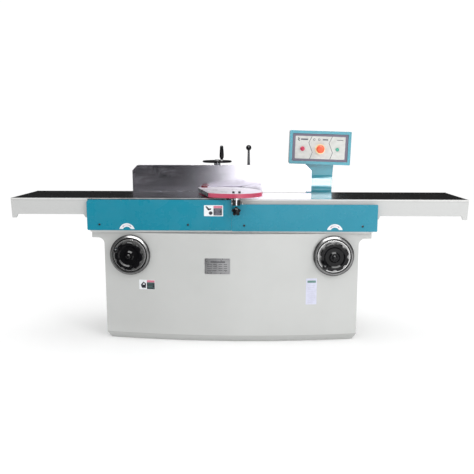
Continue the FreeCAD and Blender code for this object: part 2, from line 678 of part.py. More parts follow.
# ---- Tables -----------------------------------------------------------------------------------
def table(side, drop, shift_to_cutter, apron_end, slant_end):
    """One table. side is -1 for the outfeed end and 1 for the infeed end; drop lowers the top."""
    outer_end = side * TABLE_LENGTH / 2
    top = TABLE_TOP - drop
    lip = CUTTER_X + side * (22 + shift_to_cutter)
    plate_low = top - TABLE_PLATE
    skirt = [(lip, top), (lip, SKIRT_LOW - drop), (slant_end, SKIRT_LOW - drop),
             (apron_end, SKIRT_HIGH - drop), (outer_end - side * 34, SKIRT_HIGH - drop),
             (outer_end - side * 26, LUG_LOW - drop), (outer_end - side * 4, LUG_LOW - drop),
             (outer_end, top)]
    solids = [prism(xz, skirt, y, y + SKIRT_THICK) for y in (0, TABLE_WIDTH - SKIRT_THICK)]
    inner_x = sorted((lip, outer_end - side * 4))
    solids.append(box(inner_x[0], inner_x[1], 0, TABLE_WIDTH, plate_low, top))
    end_x = sorted((outer_end - side * 4, outer_end - side * 18))
    solids.append(box(end_x[0], end_x[1], 0, TABLE_WIDTH, SKIRT_HIGH - drop, top))
    rib_low = plate_low - RIB_DEPTH
    middle = TABLE_WIDTH / 2
    solids.append(box(*sorted((outer_end - side * 18, CUTTER_X + side * 90)),
                      middle - 7, middle + 7, rib_low + 2, plate_low))
    ribs = int((abs(outer_end) - 100) // RIB_SPACING)
    for index in range(ribs):
        x = outer_end - side * (index + 1) * RIB_SPACING
        solids.append(box(x - RIB_HALF, x + RIB_HALF, 0, TABLE_WIDTH, rib_low, plate_low))
    foot = [(CUTTER_X + side * FOOT_START, plate_low),
            (CUTTER_X + side * FOOT_START, way_height(FOOT_START) + WAY_GAP),
            (CUTTER_X + side * FOOT_END, way_height(FOOT_END) + WAY_GAP),
            (CUTTER_X + side * FOOT_END, plate_low)]
    for y in WAY_YS:
        solids.append(prism(xz, foot, y, y + WAY_WIDTH))
    body = joined(solids)
    scoop_x = CUTTER_X + side * shift_to_cutter
    scoop_z = CUTTER_Z - drop_of_shift(shift_to_cutter)
    body = body.cut(cylinder(Vector(scoop_x, -10, scoop_z), Y_AXIS, CUTTER_R + 3, TABLE_WIDTH + 20))
    below = sorted((CUTTER_X, CUTTER_X + side * (80 + shift_to_cutter)))
    body = body.cut(box(below[0], below[1], -10, TABLE_WIDTH + 10, 500, CUTTER_Z - 20))
    groove_top = top - EDGE_BAND
    for y in (-1, TABLE_WIDTH - 1):
        body = body.cut(box(-TABLE_LENGTH / 2, TABLE_LENGTH / 2, y, y + 2,
                            groove_top - EDGE_GROOVE, groove_top))
    return body


def drop_of_shift(shift):
    """How far a table sinks on its ways when it moves this far out."""
    return shift * math.tan(WAY_ANGLE)


def tables():
    infeed_shift = CUT_DEPTH / math.tan(WAY_ANGLE)
    return {"outfeed_table": table(-1, 0.0, OUTFEED_SHIFT, -848.0, -837.0),
            "infeed_table": table(1, CUT_DEPTH, infeed_shift, 776.0, 771.0)}


# ---- Table drive: handwheel, pinion, lay gear and rack ----------------------------------------
def wheel_mount(x):
    """Turned dish on the cabinet front: hub, flat disc, black groove and conical rim."""
    bore = WHEEL_SHAFT_R + BUSH_WALL
    back = BRACKET_YS[0]
    disc_y, groove_y, rim_y = -44, -37, -46
    groove_in, groove_out = 88.5, 96
    profile = [(bore, back), (bore, disc_y - 3), (26, disc_y - 3), (28, disc_y), (groove_in, disc_y),
               (groove_in, groove_y), (groove_out, groove_y), (groove_out, rim_y), (99, rim_y),
               (MOUNT_R - 3, -40), (MOUNT_R, -36), (MOUNT_R, back), (MOUNT_R - 8, back),
               (MOUNT_R - 8, -30), (30, -30), (30, back)]
    return turned(Vector(x, 0, WHEEL_Z), Y_AXIS, profile)


def handwheel(x, crank_angle):
    """Lobed wheel with the pin that its crank handle spins on."""
    bore = WHEEL_SHAFT_R
    rim_in = WHEEL_R - 20
    wheel = turned(Vector(x, 0, WHEEL_Z), Y_AXIS,
                   [(bore, -49), (24, -49), (30, -56), (rim_in - 6, -58), (rim_in, -52),
                    (WHEEL_R - 4, -52), (WHEEL_R, -56), (WHEEL_R, -70), (WHEEL_R - 4, -74),
                    (rim_in, -74), (rim_in - 8, -68), (30, -68), (22, -76), (bore, -76)])
    for index in range(WHEEL_NOTCHES):
        angle = crank_angle + NOTCH_TURN + 2 * math.pi * index / WHEEL_NOTCHES
        place = Vector(x + NOTCH_PLACE_R * math.cos(angle), -80, WHEEL_Z + NOTCH_PLACE_R * math.sin(angle))
        wheel = wheel.cut(cylinder(place, Y_AXIS, NOTCH_R, 40))
    pin = cylinder(crank_place(x, crank_angle, CRANK_TIP_Y + 8), Y_AXIS, CRANK_PIN_R, 82)
    return joined([wheel, pin])


def crank_place(x, angle, y):
    return Vector(x + CRANK_R * math.cos(angle), y, WHEEL_Z + CRANK_R * math.sin(angle))


def crank_handle(x, angle):
    start = -74 - RUN_GAP
    bore = CRANK_PIN_R + SHAFT_GAP
    tip = CRANK_TIP_Y
    bore_end = tip + 7
    profile = [(bore, start), (9, start), (8.5, -80), (10, -94), (14, -110), (16, -124), (15.5, -134),
               (12.5, -143), (6, tip), (0, tip), (0, bore_end), (bore, bore_end)]
    return turned(crank_place(x, angle, 0), Y_AXIS, profile)


def wheel_shaft(x):
    """Handwheel shaft with its pinion and the bright domed nut in front of the hub."""
    centre = Vector(x, 0, WHEEL_Z)
    shaft = turned(centre, Y_AXIS, [(0, 96), (WHEEL_SHAFT_R, 96), (WHEEL_SHAFT_R, -76), (15, -76),
                                    (15, -80), (13, -84), (9, -88), (4, -90), (0, -90)])
    teeth = gear(xz, (x, WHEEL_Z), PINION_TEETH, MODULE, math.pi / 2, 40, 60)
    return joined([shaft, teeth])


def lay_gear(x, rack_normal):
    wide = gear(xz, (x, LAY_Z), LAY_TEETH, MODULE, 1.5 * math.pi + math.pi / LAY_TEETH, 42, 58)
    small = gear(xz, (x, LAY_Z), PINION_TEETH, MODULE, rack_normal + math.pi / PINION_TEETH, 58, 78)
    shaft = cylinder(Vector(x, 15, LAY_Z), Y_AXIS, LAY_SHAFT_R, 81)
    return joined([wide, small, shaft])


def gear_bracket(x):
    """Two plates and a bridge that carry the handwheel shaft and the lay shaft."""
    half = BRACKET_HALF
    low = WHEEL_Z - 47
    front, rear = BRACKET_YS
    plates = [box(x - half, x + half, y, y + BRACKET_PLATE, low, LAY_Z + 34) for y in BRACKET_YS]
    bridge = box(x - half, x + half, front + BRACKET_PLATE, rear, low, low + BRACKET_PLATE)
    bracket = joined(plates + [bridge])
    bracket = bracket.cut(cylinder(Vector(x, 0, WHEEL_Z), Y_AXIS, WHEEL_SHAFT_R + BUSH_WALL, 110))
    return bracket.cut(cylinder(Vector(x, 0, LAY_Z), Y_AXIS, LAY_SHAFT_R + LAY_BUSH_WALL, 110))


def bushes():
    solids = []
    front, rear = BRACKET_YS
    front_end, rear_end = front + BRACKET_PLATE, rear + BRACKET_PLATE
    seats = ((WHEEL_Z, WHEEL_SHAFT_R, BUSH_WALL, -46, front_end),
             (WHEEL_Z, WHEEL_SHAFT_R, BUSH_WALL, rear, rear_end),
             (LAY_Z, LAY_SHAFT_R, LAY_BUSH_WALL, front, front_end),
             (LAY_Z, LAY_SHAFT_R, LAY_BUSH_WALL, rear, rear_end))
    for x in (WHEEL_LEFT_X, WHEEL_RIGHT_X):
        for z, shaft_r, wall, y0, y1 in seats:
            ring = cylinder(Vector(x, y0, z), Y_AXIS, shaft_r + wall, y1 - y0)
            solids.append(ring.cut(cylinder(Vector(x, y0, z), Y_AXIS, shaft_r + SHAFT_GAP, y1 - y0)))
    return {"shaft_bushes": Part.makeCompound(solids)}


def table_rack(x, side, drop):
    """Rack on a web that hangs from the table through the slots to the lay gear."""
    along = (side * math.cos(WAY_ANGLE), -math.sin(WAY_ANGLE))
    normal = (side * math.sin(WAY_ANGLE), math.cos(WAY_ANGLE))
    foot = (x + PINION_PITCH_R * normal[0], LAY_Z + PINION_PITCH_R * normal[1])
    plate_low = TABLE_TOP - TABLE_PLATE - drop

    def place(u, v):
        return (foot[0] + u * along[0] + v * normal[0], foot[1] + u * along[1] + v * normal[1])

    teeth = [place(u, v) for u, v in rack_points(MODULE, RACK_TEETH)]
    ends = (teeth[0], teeth[-1])
    web_high = plate_low - 10
    points = teeth + [(ends[1][0], web_high), (ends[0][0], web_high)]
    web = prism(xz, points, 63, 77)
    pad = box(x - 45, x + 45, 40, 88, web_high, plate_low)
    return joined([web, pad])


def table_drives():
    parts = {}
    sides = (("left", WHEEL_LEFT_X, -1, CRANK_LEFT_ANGLE, "outfeed", 0.0),
             ("right", WHEEL_RIGHT_X, 1, CRANK_RIGHT_ANGLE, "infeed", CUT_DEPTH))
    for name, x, side, crank_angle, feed, drop in sides:
        rack_normal = math.pi / 2 - side * WAY_ANGLE
        parts["handwheel_mount_" + name] = wheel_mount(x)
        parts["handwheel_" + name] = handwheel(x, crank_angle)
        parts["crank_handle_" + name] = crank_handle(x, crank_angle)
        parts["wheel_shaft_" + name] = wheel_shaft(x)
        parts["lay_gear_" + name] = lay_gear(x, rack_normal)
        parts["gear_bracket_" + name] = gear_bracket(x)
        parts[feed + "_rack"] = table_rack(x, side, drop)
    return parts


# ---- Fence ------------------------------------------------------------------------------------
def fence_plate():
    c = FENCE_CHAMFER
    face = prism(xz, [(FENCE_LEFT, FENCE_BOTTOM), (FENCE_RIGHT, FENCE_BOTTOM),
                      (FENCE_RIGHT, FENCE_TOP - c), (FENCE_RIGHT - c, FENCE_TOP),
                      (FENCE_LEFT + c, FENCE_TOP), (FENCE_LEFT, FENCE_TOP - c)],
                 FENCE_Y, FENCE_Y + FENCE_THICK)
    back = FENCE_Y + FENCE_THICK
    solids = [face, box(FENCE_LEFT + 60, FENCE_RIGHT - 60, back, back + 7, FENCE_TOP - 22, FENCE_TOP - 4)]
    for x0, x1 in FENCE_LUGS:
        solids.append(box(x0, x1, back, PIVOT_Y, PIVOT_Z - LUG_R, PIVOT_Z + LUG_R))
        solids.append(cylinder(Vector(x0, PIVOT_Y, PIVOT_Z), X_AXIS, LUG_R, x1 - x0))
    plate = joined(solids)
    for x0, x1 in FENCE_LUGS:
        plate = plate.cut(cylinder(Vector(x0 - 1, PIVOT_Y, PIVOT_Z), X_AXIS,
                                   HINGE_PIN_R + SHAFT_GAP, x1 - x0 + 2))
    return plate


def fence_ram():
    """Sliding ram with a rack down its left side and the fence's hinge pins at its front."""
    count = RAM_RACK_TEETH
    middle_y = FENCE_WHEEL_Y + (count / 2 - 1.5) * math.pi * RAM_MODULE
    teeth = [(RAM_PITCH_X + v, middle_y + u) for u, v in rack_points(RAM_MODULE, count)]
    points = [(RAM_RIGHT, RAM_REAR), (teeth[-1][0], RAM_REAR)] + teeth[::-1]
    points += [(teeth[0][0], RAM_FRONT), (RAM_RIGHT, RAM_FRONT)]
    solids = [prism(xy, points, RAM_LOW, RAM_HIGH)]
    for x0, x1 in RAM_LUGS:
        solids.append(box(x0, x1, PIVOT_Y, RAM_FRONT, PIVOT_Z - LUG_R, PIVOT_Z + LUG_R))
        solids.append(cylinder(Vector(x0, PIVOT_Y, PIVOT_Z), X_AXIS, LUG_R, x1 - x0))
    solids.append(cylinder(Vector(RAM_LUGS[0][0], PIVOT_Y, PIVOT_Z), X_AXIS, HINGE_PIN_R, 62))
    solids.append(cylinder(Vector(FENCE_LUGS[1][0] - 1, PIVOT_Y, PIVOT_Z), X_AXIS, HINGE_PIN_R, 60))
    return joined(solids)


def fence_bracket():
    """Cast bridge behind the cutter that guides the ram and carries the wheel and the lever."""
    low, leg_y, leg_back = BRACKET_LOW, 441, 496
    block = [box(BRACKET_LEFT, BRACKET_RIGHT, 470, 640, low, BRACKET_TOP)]
    for x0, x1 in ((BRACKET_LEFT, CUTTER_X - 78), (CUTTER_X + 82, BRACKET_RIGHT)):
        leg = [(leg_y, BED_TOP), (leg_back, BED_TOP), (leg_back, 700), (620, low), (leg_y, low)]
        block.append(prism(yz, leg, x0, x1))
    boss_top = 948.0
    block.append(cylinder(Vector(FENCE_WHEEL_X, FENCE_WHEEL_Y, BRACKET_TOP - 1), Z_AXIS, 22,
                          boss_top - BRACKET_TOP + 1))
    ear_in, ear_out, ear_r = 12, 22, 14
    for x0, x1 in ((LEVER_X - ear_out, LEVER_X - ear_in), (LEVER_X + ear_in, LEVER_X + ear_out)):
        block.append(box(x0, x1, FENCE_WHEEL_Y - ear_r, FENCE_WHEEL_Y + ear_r, BRACKET_TOP, LEVER_Z))
        block.append(cylinder(Vector(x0, FENCE_WHEEL_Y, LEVER_Z), X_AXIS, ear_r, x1 - x0))
    block.append(cylinder(Vector(LEVER_X - ear_out - 2, FENCE_WHEEL_Y, LEVER_Z), X_AXIS, 6,
                          2 * ear_out + 4))
    body = joined(block)
    tip_x = RAM_PITCH_X - RAM_MODULE
    channel = box(tip_x - RUN_GAP - 0.1, RAM_RIGHT + RUN_GAP, 400, 700, RAM_LOW - RUN_GAP,
                  RAM_HIGH + RUN_GAP)
    pocket = cylinder(Vector(FENCE_WHEEL_X, FENCE_WHEEL_Y, RAM_LOW - RUN_GAP), Z_AXIS, 28.5,
                      RAM_HIGH - RAM_LOW + 2 * RUN_GAP)
    shaft_hole = cylinder(Vector(FENCE_WHEEL_X, FENCE_WHEEL_Y, RAM_LOW), Z_AXIS, 10 + SHAFT_GAP, 200)
    return body.cut(channel).cut(pocket).cut(shaft_hole)


def fence_wheel():
    """Horizontal handwheel with its shaft and the pinion that drives the ram."""
    centre = Vector(FENCE_WHEEL_X, FENCE_WHEEL_Y, 0)
    z = FENCE_WHEEL_Z
    rim = turned(centre, Z_AXIS, [(66, z - 4), (70, z - 6), (88, z - 6), (92, z - 2), (92, z + 2),
                                  (88, z + 6), (70, z + 6), (66, z + 4)])
    hub = turned(centre, Z_AXIS, [(0, RAM_LOW + 2), (10, RAM_LOW + 2), (10, 949), (20, 949),
                                  (20, z + 8), (14, z + 12), (0, z + 12)])
    solids = [rim, hub]
    for index in range(3):
        spoke = box(FENCE_WHEEL_X + 15, FENCE_WHEEL_X + 70, FENCE_WHEEL_Y - 8, FENCE_WHEEL_Y + 8,
                    z - 3.5, z + 3.5)
        spoke.rotate(centre, Z_AXIS, FENCE_HANDLE_ANGLE + 120 * index)
        solids.append(spoke)
    stem = fence_handle_place() + Z_AXIS * (z - 3)
    solids.append(cylinder(stem, Z_AXIS, 9, 14))
    solids.append(cylinder(stem, Z_AXIS, CRANK_PIN_R, 96))
    solids.append(gear(xy, (FENCE_WHEEL_X, FENCE_WHEEL_Y), RAM_PINION_TEETH, RAM_MODULE,
                       math.pi / RAM_PINION_TEETH, RAM_LOW + 2, RAM_HIGH - 2))
    return joined(solids)


def fence_handle_place():
    angle = math.radians(FENCE_HANDLE_ANGLE)
    return Vector(FENCE_WHEEL_X + FENCE_HANDLE_R * math.cos(angle),
                  FENCE_WHEEL_Y + FENCE_HANDLE_R * math.sin(angle), 0)


def fence_wheel_handle():
    bore = CRANK_PIN_R + SHAFT_GAP
    bore_top = 1069
    profile = [(bore, 989), (8, 989), (9, 996), (12.5, 1002), (13.5, 1014), (12, 1044), (10.5, 1060),
               (10.5, 1068), (7, 1075), (0, 1076), (0, bore_top), (bore, bore_top)]
    return turned(fence_handle_place(), Z_AXIS, profile)


def fence_lever():
    centre = Vector(LEVER_X, FENCE_WHEEL_Y, 0)
    rod = turned(centre, Z_AXIS, [(0, LEVER_Z), (10, LEVER_Z), (6.5, BALL_Z - 14), (0, BALL_Z - 14)])
    hub_half = 12 - RUN_GAP
    hub = cylinder(Vector(LEVER_X - hub_half, FENCE_WHEEL_Y, LEVER_Z), X_AXIS, 13, 2 * hub_half)
    ball = Part.makeSphere(BALL_R, Vector(LEVER_X, FENCE_WHEEL_Y, BALL_Z))
    bore = cylinder(Vector(LEVER_X - 20, FENCE_WHEEL_Y, LEVER_Z), X_AXIS, 6 + SHAFT_GAP, 40)
    return joined([rod, hub, ball]).cut(bore)


def fence():
    return {"fence_plate": fence_plate(), "fence_ram": fence_ram(), "fence_bracket": fence_bracket(),
            "fence_handwheel": fence_wheel(), "fence_wheel_handle": fence_wheel_handle(),
            "fence_lock_lever": fence_lever()}


# ---- Cutter guard -----------------------------------------------------------------------------
def guard_outline(inset):
    """Plan of the guard plate; the front edge bulges over the post."""
    i = inset
    return [(-157 + i, -10 + i * 0.6), ((-78 + i * 0.3, -48 + i), (GUARD_X, -60 + i)),
            ((86 - i * 0.6, -24 + i * 0.8), (138 - i, 62)), (138 - i, 82),
            ((92 - i, 250 - i), (0, 350 - i)), (-150, 392 - i),
            ((-222 + i * 0.8, 379 - i * 0.6), (-244 + i, 322))]


def guard():
    """Swinging cutter guard on its post, the clamp bracket on the apron and the star knob."""
    plate_z = GUARD_TOP - GUARD_SHEET
    plate = prism(xy, guard_outline(0), plate_z, GUARD_TOP)
    lip = prism(xy, guard_outline(0), GUARD_LOW, plate_z)
    lip = lip.cut(prism(xy, guard_outline(GUARD_SHEET), GUARD_LOW - 1, plate_z + 1))
    lip = lip.cut(box(-150, 300, 84, 500, 700, 900))
    post = joined([cylinder(Vector(GUARD_X, POST_Y, 724), Z_AXIS, POST_R, 102.5),
                   cylinder(Vector(GUARD_X, POST_Y, 795 + RUN_GAP), Z_AXIS, 14, 10.4)])
    arm = joined([cylinder(Vector(GUARD_X, POST_Y, 806), Z_AXIS, 15, plate_z - 806),
                  box(-32, 26, -34, 8, 812, plate_z)])
    arm = arm.cut(cylinder(Vector(GUARD_X, POST_Y, 800), Z_AXIS, POST_R + SHAFT_GAP, 40))
    tail = turned(Vector(*TAIL_PLACE, plate_z), Z_AXIS,
                  [(0, 0), (TAIL_R, 0), (TAIL_R, GUARD_SHEET + TAIL_HEIGHT - 3),
                   (TAIL_R - 3, GUARD_SHEET + TAIL_HEIGHT), (0, GUARD_SHEET + TAIL_HEIGHT)])
    bolts = []
    for x in GUARD_BOLTS:
        shank = cylinder(Vector(x, GUARD_BOLT_Y, 815), Z_AXIS, 4, GUARD_TOP - 815)
        arm = arm.cut(shank)
        plate = plate.cut(shank)
        head = turned(Vector(x, GUARD_BOLT_Y, GUARD_TOP), Z_AXIS,
                      [(0, 0), (6.5, 0), (6.5, 9), (5.5, 10), (3, 10), (3, 6), (0, 6)])
        bolts.append(joined([head, shank]))
    socket = box(GUARD_X - 14, GUARD_X + 14, -54, APRON_Y, 716, CHEEK_LOW)
    cheeks = box(GUARD_X - 21, GUARD_X + 21, -50, APRON_Y, CHEEK_LOW, 795)
    bracket = joined([socket, cheeks])
    bracket = bracket.cut(cylinder(Vector(GUARD_X, POST_Y, 722), Z_AXIS, POST_R + SHAFT_GAP, 80))
    bracket = bracket.cut(box(GUARD_X - 7, GUARD_X + 7, -60, POST_Y, CHEEK_LOW, 800))
    bracket = bracket.cut(cylinder(Vector(GUARD_X, -60, KNOB_Z), Y_AXIS, 5 + SHAFT_GAP, 20))
    lobes = [turned(Vector(GUARD_X, 0, KNOB_Z), Y_AXIS, [(0, -56), (19, -56), (19, -76), (16, -82),
                                                         (9, -86), (0, -87)])]
    lobe_place, lobe_r = 16, 9
    for index in range(KNOB_LOBES):
        angle = math.pi / 2 + 2 * math.pi * index / KNOB_LOBES
        place = Vector(GUARD_X + lobe_place * math.cos(angle), -78, KNOB_Z + lobe_place * math.sin(angle))
        lobes.append(cylinder(place, Y_AXIS, lobe_r, 18))
    stem_end = POST_Y - POST_R - RUN_GAP
    lobes.append(cylinder(Vector(GUARD_X, -60, KNOB_Z), Y_AXIS, 5, stem_end + 60))
    return {"guard_plate": joined([plate, lip, tail]), "guard_arm": arm, "guard_post": post,
            "guard_bracket": bracket, "guard_knob": joined(lobes),
            "guard_bolts": Part.makeCompound(bolts)}


# ---- Control panel ----------------------------------------------------------------------------
def column_curve(offset):
    """Front line of the arm in YZ, set back by an offset: straight, S bend, straight."""
    rise, reach = 100.0, 38.0
    turn = 2 * math.atan(reach / rise)
    radius = rise / (2 * math.sin(turn))
    low_r = radius - offset
    high_r = radius + offset
    start_y = REAR_Y + offset
    low_c = (REAR_Y + radius, 800.0)
    high_c = (REAR_Y + reach - radius, 900.0)

    def low(angle):
        return (low_c[0] - low_r * math.cos(angle), low_c[1] + low_r * math.sin(angle))

    def high(angle):
        return (high_c[0] + high_r * math.cos(angle), high_c[1] - high_r * math.sin(angle))

    return [(start_y, 430.0), (start_y, 800.0), (low(turn / 2), low(turn)),
            (high(turn / 2), high(0.0)), (REAR_Y + reach + offset, 985.0)]


def curved_slab(front, back, x0, x1):
    """Solid between two offsets of the arm's curve."""
    a = column_curve(front)
    b = column_curve(back)
    ends = [b[0], b[1], b[2][1], b[3][1], b[4]]
    moves = a[1:] + [ends[4], ends[3], (b[3][0], ends[2]), (b[2][0], ends[1]), ends[0]]
    return prism(yz, [a[0]] + moves, x0, x1)


def leaned(shape):
    shape.rotate(Vector(PANEL_X, 0, PANEL_Z), Y_AXIS, PANEL_LEAN)
    return shape


def rounded_slab(width, height, radius, y0, y1):
    solid = box(PANEL_X - width / 2, PANEL_X + width / 2, y0, y1,
                PANEL_Z - height / 2, PANEL_Z + height / 2)
    corners = [edge for edge in solid.Edges
               if abs(edge.tangentAt(edge.FirstParameter).y) > 0.99]
    return solid.makeFillet(radius, corners)


def hole(x, radius, y0, y1):
    return cylinder(Vector(x, y0, BUTTON_Z), Y_AXIS, radius, y1 - y0)


def control():
    outside = rounded_slab(PANEL_WIDTH, PANEL_HEIGHT, PANEL_CORNER, PANEL_FRONT, PANEL_BACK)
    inside = rounded_slab(PANEL_WIDTH - 8, PANEL_HEIGHT - 8, 3, PANEL_FRONT + 11, PANEL_BACK - 3)
    recess = rounded_slab(RECESS_W, RECESS_H, 5, PANEL_FRONT - 1, PANEL_FRONT + 12)
    shell = outside.cut(inside).cut(recess)
    plate = rounded_slab(RECESS_W, RECESS_H, 5, PANEL_FRONT + 5, PANEL_FRONT + 11)
    for x, radius in ((LAMP_X, 9), (PANEL_X, 11.1), (START_X, 11.1)):
        plate = plate.cut(hole(x, radius, 480, 520))
    lamp = turned(Vector(LAMP_X, 0, BUTTON_Z), Y_AXIS,
                  [(0, 530), (9, 530), (9, 499), (14, 499), (14, 490), (11, 486), (6, 484.4), (0, 484)])
    stop = turned(Vector(PANEL_X, 0, BUTTON_Z), Y_AXIS,
                  [(0, 520), (16, 520), (16, 512), (11, 512), (11, 484), (19, 482), (24, 478), (25, 472),
                   (22, 466), (14, 463), (0, 462)])
    start = turned(Vector(START_X, 0, BUTTON_Z), Y_AXIS,
                   [(0, 518), (14, 518), (14, 511), (11, 511), (11, 491), (10, 489.6), (0, 489)])
    column = curved_slab(0, 40, COLUMN_LEFT - 20, COLUMN_LEFT + 190)
    column = column.cut(curved_slab(4, 41, COLUMN_LEFT + 4, 567))
    sides = [(COLUMN_LEFT, 430), (571, 430), (571, 800), (586, 985), (COLUMN_LEFT, 985)]
    column = column.common(prism(xz, sides, 480, 620))
    solids = [leaned(s) for s in (outside, shell, plate, lamp, stop, start)]
    column = column.cut(solids[0])
    column = max(column.Solids, key=lambda solid: solid.Volume)
    return {"control_box": solids[1], "control_plate": solids[2], "power_lamp": solids[3],
            "estop_button": solids[4], "start_button": solids[5], "panel_column": column}


# ---- Build and export -------------------------------------------------------------------------
def main():
    os.makedirs("parts", exist_ok=True)
    parts = {}
    for group in (cabinet, bed, aprons, cover_screws, cutter_block, belts, belt_guard, motor,
                  dust_chute, tables, table_drives, bushes, fence, guard, control):
        parts.update(group())
    for name, shape in sorted(parts.items()):
        if not shape.isValid() or not shape.Solids:
            raise RuntimeError("not a valid solid: " + name)
        shape.translate(Vector(0, -ORIGIN_Y, 0))
        shape.exportStep(os.path.join("parts", name + ".step"))
        print("%-24s solids %2d volume %11.0f" % (name, len(shape.Solids), shape.Volume))
    print(len(parts), "nodes")


main()
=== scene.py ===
"""Looks of the long-bed surface planer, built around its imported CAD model."""

import json
import math

import bmesh
import bpy
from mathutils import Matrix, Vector

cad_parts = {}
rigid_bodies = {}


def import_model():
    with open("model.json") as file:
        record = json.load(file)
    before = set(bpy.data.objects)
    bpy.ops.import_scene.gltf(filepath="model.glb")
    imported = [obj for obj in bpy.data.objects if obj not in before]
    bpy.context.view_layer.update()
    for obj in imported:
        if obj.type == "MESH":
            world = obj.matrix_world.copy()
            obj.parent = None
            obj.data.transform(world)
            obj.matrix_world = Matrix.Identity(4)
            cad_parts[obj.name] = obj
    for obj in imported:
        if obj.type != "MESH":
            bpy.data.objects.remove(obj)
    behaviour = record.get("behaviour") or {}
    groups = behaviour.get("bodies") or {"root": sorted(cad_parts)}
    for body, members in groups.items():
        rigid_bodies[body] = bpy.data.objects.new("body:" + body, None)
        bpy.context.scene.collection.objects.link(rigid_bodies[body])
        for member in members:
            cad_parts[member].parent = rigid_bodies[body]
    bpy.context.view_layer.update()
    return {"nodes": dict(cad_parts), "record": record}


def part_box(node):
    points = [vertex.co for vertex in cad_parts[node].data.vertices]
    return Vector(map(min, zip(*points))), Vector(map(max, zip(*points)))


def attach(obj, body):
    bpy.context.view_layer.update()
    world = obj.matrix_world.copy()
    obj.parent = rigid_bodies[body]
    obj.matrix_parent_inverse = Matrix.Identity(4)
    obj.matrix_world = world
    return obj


for leftover in list(bpy.data.objects):
    bpy.data.objects.remove(leftover)

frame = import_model()

MM = 0.001
NODES = frame["nodes"]

# Places read from the frame
APRON_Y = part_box("apron_left")[0].y
CABINET_LOW, CABINET_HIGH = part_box("cabinet_front")
CABINET_X = (CABINET_LOW.x + CABINET_HIGH.x) / 2
TABLE_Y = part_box("infeed_table")[0].y
BOW_R = 3930 * MM
KICK_FOLD = 36 * MM
TABLE_BAND = 10 * MM
TABLE_GROOVE = 2 * MM
TAIL_PAD_DEPTH = 11.5 * MM
PANEL_LOW, PANEL_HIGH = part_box("control_plate")
PANEL_X = (PANEL_LOW.x + PANEL_HIGH.x) / 2
PANEL_Z = (PANEL_LOW.z + PANEL_HIGH.z) / 2
PANEL_LEAN = math.radians(1.8)


